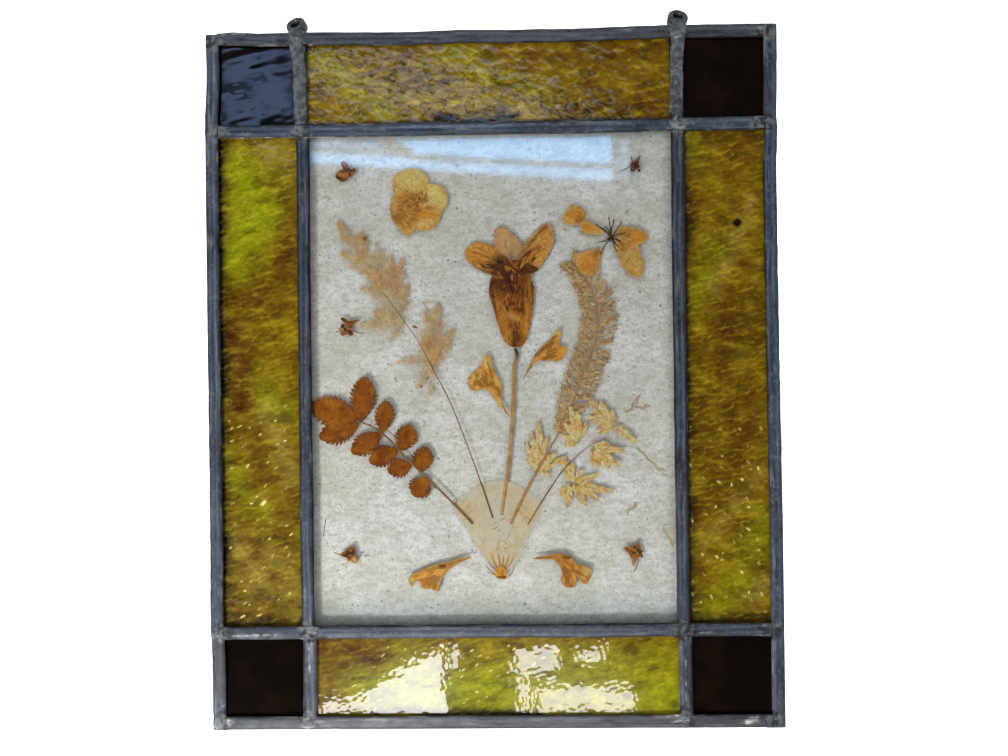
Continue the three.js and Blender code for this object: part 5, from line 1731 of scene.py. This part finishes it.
spikelets = {
    "left": [((21, 125), (16, 130), 2.4), ((21.4, 126), (15.2, 137.6), 2.8),
        ((21.4, 126.4), (17.6, 143), 2.8), ((21.4, 126.4), (21.6, 148.6), 3.4),
        ((21.4, 126.4), (25.6, 141), 2.6), ((21, 126), (29.6, 133.2), 3.2),
        ((20.6, 124.4), (28.4, 127.4), 2.6), ((20.4, 125), (26.4, 122.8), 2.2),
        ((27, 127), (34, 131), 2.6)],
    "upper": [((40.6, 138.4), (33.4, 141.4), 2.8), ((41, 139), (34.4, 147.4), 3.2),
        ((41, 140), (37, 155.6), 3.6), ((41.4, 140.4), (40.6, 153), 3.2),
        ((41.4, 140), (44.6, 147.4), 2.8), ((41.6, 138.6), (35, 137.4), 2.4)],
    "upper_right": [((58, 145), (46.2, 159.6), 6), ((57, 146), (52, 157.6), 4),
        ((58, 146), (56.8, 152.8), 3.4), ((58.6, 146), (46.6, 150.6), 5), ((58, 146.4), (68.2, 139), 4.4),
        ((57.6, 145.4), (51, 143.8), 2.8)],
    "middle_right": [((47, 134.8), (49, 126.6), 3), ((47, 135), (55.6, 126), 3.4),
        ((47.2, 135.4), (60.8, 127), 3.6), ((47.4, 135.6), (63, 134.4), 3.8),
        ((47.6, 136), (55.4, 138), 3)],
    "lower_right": [((37.8, 118.4), (33.4, 130), 4), ((36.4, 118.2), (37.6, 127.4), 3.4),
        ((36, 118.6), (32, 112.4), 3), ((36.4, 119), (35.2, 107.2), 3.2), ((37.8, 118.8), (44, 108), 3.2),
        ((38.6, 118.6), (42.2, 124.6), 3), ((38.6, 118.4), (50, 110.8), 3.4),
        ((38.8, 118.4), (49.4, 122.6), 3.8), ((38.8, 118), (57.4, 114.4), 4)],
}


# Overlapping pointed scales with short awns along one grass branch
def scalesAlong(batch, rng, base, tip, width, level, warm):
    base, tip = np.array(base, float), np.array(tip, float)
    along = tip - base
    length = np.hypot(*along)
    along = along / length
    side = np.array([-along[1], along[0]])
    batch.thread([base, (base + tip) / 2, tip], (0.4, 0.15), level, dark=0.4)
    count = max(8, int(length / 0.5))
    for scale in range(count):
        share = 0.1 + 0.82 * scale / (count - 1)
        hand = 1 if scale % 2 else -1
        spot = base + along * length * share
        swell = math.sin(math.pi * min(share + 0.12, 0.97)) ** 0.6
        spread = width * (0.3 + 0.44 * rng.rand()) * swell
        reach = along * (1.5 + 1.2 * rng.rand()) + side * hand * spread
        depth = level + (rng.rand() - 0.5) * 0.34
        batch.blade(spot, spot + reach, 0.85 + 0.45 * rng.rand(), depth, 0.14, 0.06 * hand, 5,
                    pale=0.8 * rng.rand() ** 2, dark=0.4 * (rng.rand() > 0.8), bright=warm * rng.rand())
        batch.blade(spot + reach * 0.8, spot + reach * 1.35, 0.14, depth, 0.08, 0, 3, dark=0.2)


def buildSpikelets(finish):
    rng = np.random.RandomState(321)
    for place, blades in spikelets.items():
        batch = Batch()
        level = depths["far"] if place in ("left", "lower_right") else depths["near"]
        warm = {"lower_right": 1.0, "middle_right": 0.8, "upper_right": 0.3}.get(place, 0.1)
        for base, tip, width in blades:
            scalesAlong(batch, rng, base, tip, width, level, warm)
        batch.piece(f"spikelets_{place}_scales", finish, "straw", [f"spikelets_{place}"])
    print("spikelets built")


funnel = {
    "points": [(2.4, 76), (-4.6, 80.6), (-8, 86), (-14, 96.5), (-20.9, 108), (-14.4, 113.6), (-8, 117.8),
               (3, 120), (13.4, 116.2), (20.9, 110.2), (23.2, 106), (17.8, 97.5), (13.4, 88), (9.8, 80.6)],
    "bright": [(-15, 107, -11, 101, 6, 0.5), (14, 108, 18, 101, 6, 0.6), (-5, 86, 1, 79, 5, 0.6),
               (8, 84, 4, 79, 5, 0.5), (5, 113, 9, 112, 5, 0.35)],
    "dark": [(-5, 97, 4, 94, 0.8, 0.35), (4, 94, 12, 92, 0.8, 0.35), (-7, 91, 3, 91.6, 0.8, 0.3),
             (3, 91.6, 10, 88, 0.7, 0.3), (-2, 86, 10, 84, 0.7, 0.3), (9, 96, 11, 88, 0.7, 0.3),
             (-12, 108, -16, 104, 0.5, 0.4), (-10, 106, -14, 102, 0.5, 0.4),
             (-9, 108.6, -13, 110, 0.5, 0.3), (13, 112, 17, 103, 0.7, 0.35)],
    "worn": [(2, 90, 2, 108, 15, 0.8)],
    # centre, spread, count, lean, swing
    "folds": [((-13.5, 104), (6, 8), 13, 38, 16), ((14.5, 103), (6, 8), 11, 112, 20),
              ((3, 87), (9, 7), 17, 90, 70), ((1, 98), (16, 8), 12, 8, 30)],
    "foot": (2.4, 74.6), "ribs": [(-4, 80.6), (-2.4, 83.4), (1.0, 84.4), (3.6, 83.6), (6.4, 84.2),
                                  (8.8, 83.4)],
    "arcs": [[(-5.4, 79.4), (-3.2, 76.4), (0, 74.3)], [(8.8, 79.2), (8, 75.6), (5.6, 73)],
             [(-4.6, 75.4), (-2, 74.8), (0, 73.8)]],
    "bulb": [(0.2, 72.6), (-0.6, 75), (1.4, 78.4), (3.8, 77.6), (5, 74.6), (4.4, 72.2)],
}


def buildFunnel(ivory, amber):
    batch = Batch()
    look = {"seed": 331, "depth": -0.05, "ragged": 0.7, "soft": 2.4, "sheer": 0.3,
            "fade": 0.8, "fringe": 0.5, "rim": 0.0, "mottle": 0.35, "worn": funnel["worn"]}
    petalInto(batch, funnel["points"], look, 0.5,
              {"bright": painted(funnel["bright"], 1.0), "dark": painted(funnel["dark"], 1.2),
               "vein": fanVeins((2.4, 74), 34, 331, 0.15, 0.16)})
    for spot, spread, count, lean, swing in funnel["folds"]:
        foldsInto(batch, spot, spread, count, (2.5, 6.5), (0.3, 0.8), (lean, swing), -0.2, 335 + count,
                  0.45)
    skin = batch.piece("funnel_flower_skin", ivory, "ivory_petal", ["funnel_flower"])
    skin.visible_shadow = False  # so thin that it darkens nothing behind it
    calyx = Batch()
    petalInto(calyx, funnel["bulb"], {"seed": 333, "depth": -0.8, "base": (2.4, 71), "veins": 16,
                                      "ragged": 0.2,
                                      "soft": 0.3}, 0.35,
              {"dark": painted([(0.6, 73, 4.4, 73, 1.6, 1.0), (0, 76, 2, 78, 0.6, 0.6),
                                (3, 74, 3.6, 77, 0.6, 0.6)]),
               "bright": painted([(1, 76, 3, 76.4, 4, 0.9)])})
    foot = funnel["foot"]
    for tip in funnel["ribs"]:
        middle = ((foot[0] + tip[0]) / 2 + (tip[0] - foot[0]) * 0.12, (foot[1] + tip[1]) / 2)
        calyx.thread([foot, middle, tip], (0.7, 0.25), -0.75, dark=0.45)
    for arc in funnel["arcs"]:
        calyx.thread(arc, (0.3, 0.6), -0.75, dark=0.45)
    calyx.piece("funnel_calyx_ribs", amber, "umber_blossom", ["funnel_calyx"])
    print("funnel built")


# Bits of dust, hair, seed and floret that lie loose between the panes
loose = {
    "specks": 420,
    "darkSpots": [(-18.5, 228), (-22, 228.7), (-17.3, 254.5), (66.3, 251.3), (72, 212), (41, 244.5),
        (-28, 131), (82, 205), (-30, 117)],
    "hairs": [[(-85.2, 93.6), (-84.9, 97), (-84.2, 100.6)],
        [(-84.4, 100.2), (-84.2, 101.4), (-83.8, 102.2)]],
    "seeds": [((-63.6, 239.4), (-61.2, 240.2), 1.7), ((-62.9, 238.4), (-61.8, 240.8), 1.2),
        ((-40, 196.2), (-37, 195.4), 1.3), ((-33, 170), (-31.6, 171.4), 0.8),
        ((-36, 166), (-35, 167.4), 0.7)],
    "florets": [((63, 153), (75, 156), 3, 10), ((68, 155), (71, 160), 2.4, 5),
        ((69, 136), (83, 122), 3, 11), ((64, 102), (68.6, 108), 2.6, 6), ((82, 97), (86, 88), 2.4, 6)],
}


def buildLoose(umber, chaff):
    rng = np.random.RandomState(341)
    dust = Batch()
    spots = [(-88 + 174 * rng.rand(), 53 + 234 * rng.rand()) for _ in range(loose["specks"])]
    for number, spot in enumerate(spots + loose["darkSpots"]):
        size = 1.0 if number >= len(spots) else 0.22 + 0.4 * rng.rand() ** 3
        turn = rng.rand() * math.pi
        away = np.array([math.cos(turn), math.sin(turn)]) * size * 0.7
        dust.blade(np.array(spot) - away, np.array(spot) + away, size * 0.8, 2.38, 0.1, 0.1, 3,
                   dark=0.6 + 0.4 * rng.rand())
    for hair in loose["hairs"]:
        dust.thread(hair, (0.35, 0.25), 2.3, dark=1.0)
    for base, tip, width in loose["seeds"]:
        dust.blade(base, tip, width, -0.9, 0.25, 0.05, 6, dark=0.3 * rng.rand(), bright=0.2)
    dust.piece("loose_dust", umber, "umber_blossom", [])
    pale = Batch()
    for base, tip, width, count in loose["florets"]:
        base, tip = np.array(base, float), np.array(tip, float)
        side = np.array([base[1] - tip[1], tip[0] - base[0]]) / np.hypot(*(tip - base))
        for number in range(count):
            start = base + (tip - base) * (number / count) + side * (rng.rand() - 0.5) * width * 0.6
            along = (tip - base) / np.hypot(*(tip - base))
            end = start + along * (2.4 + rng.rand()) + side * (rng.rand() - 0.5) * width
            pale.blade(start, end, 1.0 + 0.6 * rng.rand(), 2.3, 0.12, 0.08, 5, thin=0.45 + 0.3 * rng.rand(),
                       bright=0.8 * rng.rand())
    florets = pale.piece("loose_florets", chaff, "ivory_petal", [])
    florets.visible_shadow = False
    print("loose bits built")


# First, second, dark, pale and bright tones, then how far they are lit and blotched
driedFinishes = {
    "driedAmber": (((212, 160, 78), (188, 130, 54), (94, 50, 16), (226, 190, 120), (214, 138, 36)),
        dict(web=(480.0, 0.3),)),
    "driedBell": (((140, 80, 16), (98, 48, 4), (56, 24, 6), (208, 166, 92), (202, 140, 48)),
        dict(blotch=260.0, web=(260.0, 0.6), webTone=(178, 112, 34))),
    "driedUmber": (((150, 98, 48), (118, 70, 30), (46, 24, 14), (206, 168, 106), (184, 128, 60)), dict()),
    "driedLeaf": (((140, 78, 4), (114, 58, 2), (68, 34, 2), (172, 114, 44), (160, 96, 10)), dict()),
    "driedStraw": (((216, 172, 112), (194, 146, 84), (124, 88, 46), (234, 206, 158), (212, 148, 72)),
        dict(gain=2.0, glow=0.4)),
    "driedTawny": (((178, 138, 86), (148, 110, 62), (84, 56, 30), (212, 184, 140), (188, 132, 70)),
        dict(gain=2.2,)),
    "driedPlume": (((216, 166, 92), (192, 138, 66), (120, 82, 42), (234, 206, 158), (210, 134, 64)),
        dict(gain=2.0, glow=0.4)),
    "driedStalk": (((192, 148, 92), (168, 122, 68), (66, 50, 32), (226, 200, 158), (186, 140, 90)),
        dict(gain=1.4, glow=0.2)),
    "driedIvory": (((180, 172, 146), (168, 156, 124), (128, 110, 72), (196, 190, 170), (188, 150, 84)),
        dict(web=(360.0, 0.12),)),
}


def buildPlants():
    finishes = [driedFinish(name, tones, **rules) for name, (tones, rules) in driedFinishes.items()]
    amber, browned, umber, rust, straw, tawny, plumeTan, stalk, ivory = finishes
    buildFunnel(ivory, amber)
    buildBell(browned)
    buildFlowers(amber, umber)
    buildBurnet(rust, stalk)
    buildStems(stalk)
    buildPlume(plumeTan)
    buildFoxtail(tawny)
    buildSpikelets(straw)
    buildLoose(umber, ivory)


buildStudio()
buildLead()
buildGlass()
buildPanes()
buildPlants()
